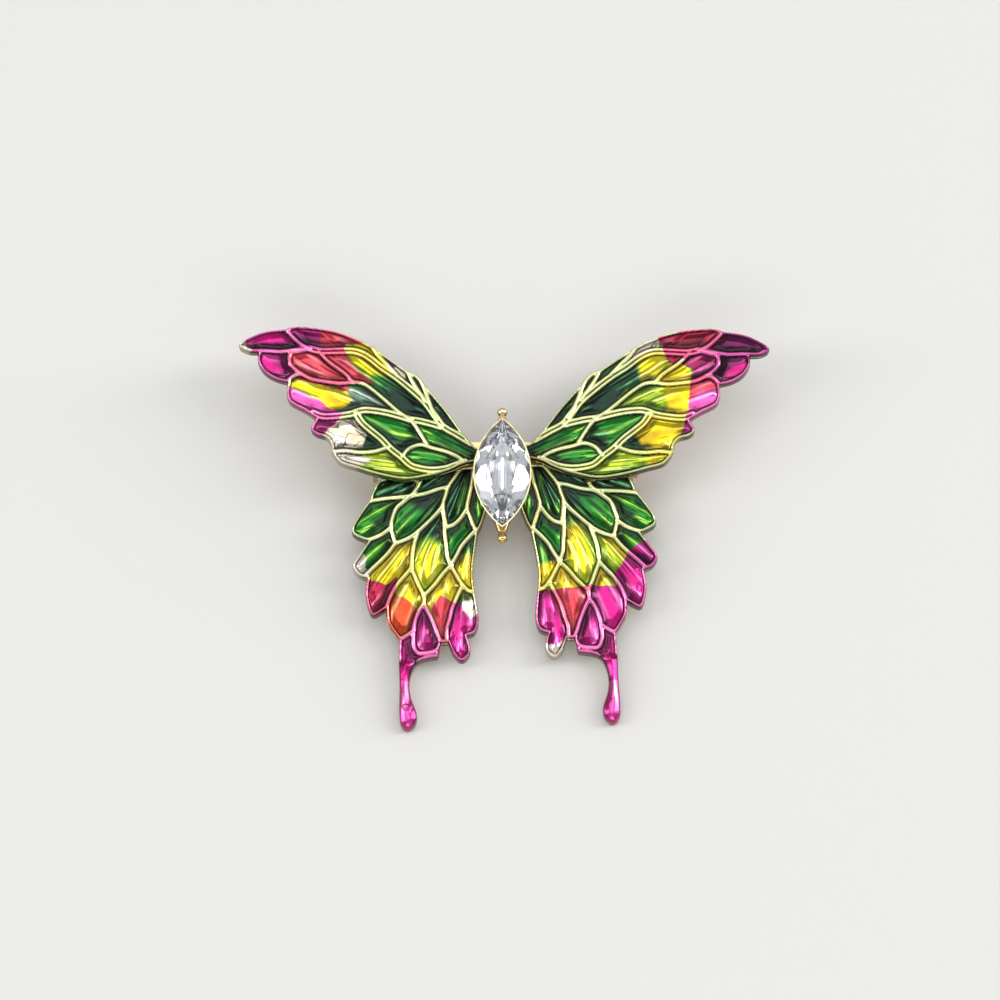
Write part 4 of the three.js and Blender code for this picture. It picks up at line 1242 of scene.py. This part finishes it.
make_thorax()
make_bead("head_ball", "head_bead", 0.54, 1)
make_bead("tail_ball", "tail_bead", 0.5, -1)

# %% [markdown]
# ## The pin finding
# The finding is a bought-in part: a stamped bar with two holes, a folded bracket that holds the
# needle on a rivet, and a safety catch with a slotted roller. Drops of solder hold the bar to
# the wings. Each sheet-metal piece starts as a block of its true size and is cut from there.

# %% Base bar and solder
def cut_hole(piece, radius, start, end):
    return combine(piece, add_rod("drill", radius, start, end, sides=64), "DIFFERENCE")


def make_base_bar():
    low, high = node_box("pin_base_bar")
    half = (high.y - low.y) / 2
    middle = (low.y + high.y) / 2
    bar = add_block("stamped_bar", (low.x + half, low.y, low.z), (high.x - half, high.y, high.z))
    for x in (low.x + half, high.x - half):
        end = add_rod("bar_end", half, (x, middle, low.z), (x, middle, high.z), sides=96)
        combine(bar, end, "UNION")
    for x in (-6.0, 6.0):
        cut_hole(bar, 0.7, (x, middle, low.z - 1), (x, middle, high.z + 1))
    soften(bar, 0.08, segments=3, angle=50)
    smooth(bar, 35)
    return settle(bar, "brooch_body", back_plate, "gold_plate", "pin_base_bar")


def make_solder(node, radius, foot):
    """A drop of solder that has pulled in at its waist."""
    low, high = node_box(node)
    middle = (low + high) / 2
    drop = add(bpy.ops.mesh.primitive_cylinder_add, f"{node}_drop", vertices=48, radius=radius,
               depth=high.z - low.z, location=middle)
    for share in (0.25, 0.5, 0.75):
        cut_along(drop, (0, 0, low.z + share * (high.z - low.z)), (0, 0, 1))
    places = vertex_places(drop)
    share = (places[:, 2] - low.z) / (high.z - low.z)
    waist = 1 - (1 - foot) * share - 0.1 * np.sin(np.pi * share)
    around_x, around_y = places[:, 0] - middle.x, places[:, 1] - middle.y
    wobble = 1 - 0.05 * (1 + np.sin(3 * np.arctan2(around_y, around_x) + middle.x))
    places[:, 0] = middle.x + around_x * waist * wobble
    places[:, 1] = middle.y + around_y * waist * wobble
    put_vertices(drop, places)
    smooth(drop, 60)
    return settle(drop, "brooch_body", back_plate, "gold_plate", node)


make_base_bar()
for word in ("left", "right"):
    make_solder(f"{word}_riser_solder", 1.1, 0.8)
    make_solder(f"{word}_seam_solder", 0.6, 1.0)

# %% [markdown]
# ## Hinge and needle
# The bracket is a channel with two ears. A rivet passes through the ears and the eye of the
# needle. The needle is one steel wire: its eye is flattened, and its point is ground to a long
# taper that ends inside the catch.

# %% Bracket, rivet and needle
AXIS_Z = 1.5
HINGE_X = -11.7
axis_y = sum((node_box("pin_base_bar")[i].y for i in (0, 1))) / 2


def make_bracket():
    low, high = node_box("hinge_bracket")
    bracket = add_block("folded_bracket", low, high)
    channel = add_block("channel", (low.x - 1, axis_y - 0.9, low.z - 1),
                        (high.x + 1, axis_y + 0.9, high.z - 0.4))
    combine(bracket, channel, "DIFFERENCE")
    cut_hole(bracket, 0.44, (HINGE_X, low.y - 1, AXIS_Z), (HINGE_X, high.y + 1, AXIS_Z))
    soften(bracket, 0.1, segments=3, angle=60)
    smooth(bracket, 40)
    return settle(bracket, "brooch_body", back_plate, "gold_plate", "hinge_bracket")


def make_rivet():
    low, high = node_box("hinge_rivet")
    rivet = add_rod("rivet_pin", 0.4, (HINGE_X, low.y + 0.1, AXIS_Z),
                    (HINGE_X, high.y - 0.1, AXIS_Z))
    for start, end in ((low.y, low.y + 0.35), (high.y - 0.35, high.y)):
        head = add_rod("rivet_head", 0.75, (HINGE_X, start, AXIS_Z), (HINGE_X, end, AXIS_Z))
        combine(rivet, head, "UNION")
    soften(rivet, 0.14, segments=4, angle=60)
    smooth(rivet, 40)
    return settle(rivet, "brooch_body", pin_steel, "pin_steel", "hinge_rivet")


def make_needle():
    tip = node_box("pin_needle")[1].x
    wire = add_rod("needle_wire", 0.38, (HINGE_X + 0.7, axis_y, AXIS_Z),
                   (tip - 2.2, axis_y, AXIS_Z))
    pick(wire, "FACE", lambda face: face.normal.x > 0.9)
    last = 1
    for share, reach in ((0.86, 0.5), (0.74, 0.5), (0.6, 0.6), (0.04, 0.6)):
        bpy.ops.mesh.extrude_region_move(TRANSFORM_OT_translate={"value": (reach, 0, 0)})
        bpy.ops.transform.resize(value=(1, share / last, share / last),
                                 center_override=(0, axis_y, AXIS_Z))
        last = share
    done()
    eye = add_rod("needle_eye", 1.0, (HINGE_X, axis_y - 0.78, AXIS_Z),
                  (HINGE_X, axis_y + 0.78, AXIS_Z), sides=64)
    soften(eye, 0.12, segments=3, angle=60)
    combine(eye, wire, "UNION")
    cut_hole(eye, 0.44, (HINGE_X, axis_y - 2, AXIS_Z), (HINGE_X, axis_y + 2, AXIS_Z))
    eye.name = eye.data.name = "needle_wire"
    smooth(eye, 35)
    return settle(eye, "needle", pin_steel, "pin_steel", "pin_needle")


make_bracket()
make_rivet()
make_needle()

# %% [markdown]
# ## Safety catch
# The housing is open downwards to let the needle in. Inside it turns a slotted tube. Its flanges
# keep it in the housing, and its thumb tab turns it so that the slot faces away.

# %% Housing and roller
def make_housing():
    low, high = node_box("catch_housing")
    housing = add_block("catch_body", (low.x, axis_y - 1.4, low.z), (high.x, axis_y + 1.4, AXIS_Z))
    combine(housing, add_rod("crown", 1.4, (low.x, axis_y, AXIS_Z), (high.x, axis_y, AXIS_Z), 96),
            "UNION")
    combine(housing, add_block("neck", (low.x, axis_y - 0.6, AXIS_Z),
                               (high.x, axis_y + 0.6, high.z)), "UNION")
    cut_hole(housing, 1.06, (low.x - 1, axis_y, AXIS_Z), (high.x + 1, axis_y, AXIS_Z))
    mouth = add_block("mouth", (low.x - 1, axis_y - 0.52, low.z - 1),
                      (high.x + 1, axis_y + 0.52, AXIS_Z))
    combine(housing, mouth, "DIFFERENCE")
    soften(housing, 0.06, segments=3, angle=60)
    smooth(housing, 35)
    return settle(housing, "brooch_body", back_plate, "gold_plate", "catch_housing")


def make_roller():
    low, high = node_box("catch_roller")
    roller = add_rod("roller_tube", 1.0, (low.x, axis_y, AXIS_Z), (high.x, axis_y, AXIS_Z), 96)
    for start, end in ((low.x, low.x + 0.4), (high.x - 0.4, high.x)):
        flange = add_rod("flange", 1.25, (start, axis_y, AXIS_Z), (end, axis_y, AXIS_Z), 96)
        combine(roller, flange, "UNION")
    tab = add_block("thumb_tab", (high.x - 0.4, axis_y, AXIS_Z - 0.45),
                    (high.x, axis_y + 2.0, AXIS_Z + 0.45))
    combine(roller, tab, "UNION")
    cut_hole(roller, 0.58, (low.x - 1, axis_y, AXIS_Z), (high.x + 1, axis_y, AXIS_Z))
    slot_cut = add_block("slot", (low.x - 1, axis_y - 0.52, AXIS_Z - 3),
                         (high.x + 1, axis_y + 0.52, AXIS_Z))
    combine(roller, slot_cut, "DIFFERENCE")
    soften(roller, 0.05, segments=3, angle=60)
    smooth(roller, 35)
    return settle(roller, "roller", back_plate, "gold_plate", "catch_roller")


make_housing()
make_roller()

# %% [markdown]
# ## Floor, light and camera
# The brooch lies on a plain pale floor. Two long soft lights at the sides rake across the relief
# so that every wire and ridge catches a line of light. The right one is the brighter, so that the
# two sides of the stone differ, and weaker lights overhead and in front fill the rest. The camera
# stands well back with a long lens, twenty degrees down from straight above.

# %% Stage
def plain_floor():
    floor = add(bpy.ops.mesh.primitive_plane_add, "plain_floor", size=4, location=(0, 0, 0))
    finish, _, shader = new_finish("pale_matt_floor")
    shader.inputs["Base Color"].default_value = (*linear("#dcdad6"), 1)
    shader.inputs["Roughness"].default_value = 0.9
    floor.data.materials.append(finish)
    floor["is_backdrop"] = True
    return floor


def soft_light(name, place, size, radiance, colour=(1, 1, 1)):
    """A soft panel that faces the brooch, with its strength given as the brightness of its face."""
    data = bpy.data.lights.new(name, "AREA")
    data.shape = "RECTANGLE"
    data.size, data.size_y = size
    data.energy = radiance * math.pi * size[0] * size[1]
    data.color = colour
    light = bpy.data.objects.new(name, data)
    bpy.context.collection.objects.link(light)
    light.location = place
    light.rotation_euler = (-Vector(place)).to_track_quat("-Z", "Y").to_euler()
    light.visible_camera = False
    light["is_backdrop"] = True
    return light


def pale_world():
    world = bpy.data.worlds.new("pale_room")
    world.use_nodes = True
    bpy.context.scene.world = world
    world.node_tree.nodes["Background"].inputs["Color"].default_value = (0.92, 0.96, 1, 1)
    world.node_tree.nodes["Background"].inputs["Strength"].default_value = 0.5
    bpy.context.scene.view_settings.view_transform = "Standard"


def long_camera():
    data = bpy.data.cameras.new("long_lens")
    data.lens = 300
    data.sensor_width = 36
    data.clip_start, data.clip_end = 0.01, 10
    camera = bpy.data.objects.new("long_lens", data)
    bpy.context.collection.objects.link(camera)
    target = Vector((-0.227, 1.817, 7.478)) * MM
    away = Vector((0, -math.sin(math.radians(20)), math.cos(math.radians(20))))
    camera.location = target + away * (98.7 * MM * 300 / 36)
    camera.rotation_euler = (math.radians(20), 0, 0)
    bpy.context.scene.camera = camera


plain_floor()
pale_world()
soft_light("left_bank", (-0.85, -0.1, 0.65), (0.3, 0.9), 4)
soft_light("right_bank", (0.85, 0.15, 0.6), (0.3, 0.9), 6)
soft_light("overhead", (0, 0.24, 1.0), (0.8, 0.7), 1.5)
soft_light("front_fill", (0, -0.8, 0.75), (1.1, 0.3), 2.2)
long_camera()

# %% [markdown]
# ## Finish
# The last step prints the lowest and highest corners of the finished model, to set beside the
# box of the imported one that was printed at the start.

# %% Sizes of the finished model
new_low, new_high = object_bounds()
for word, corner in (("lowest", new_low), ("highest", new_high)):
    print(f"{word} corner of the finished model in mm:", [round(v * 1000, 2) for v in corner])
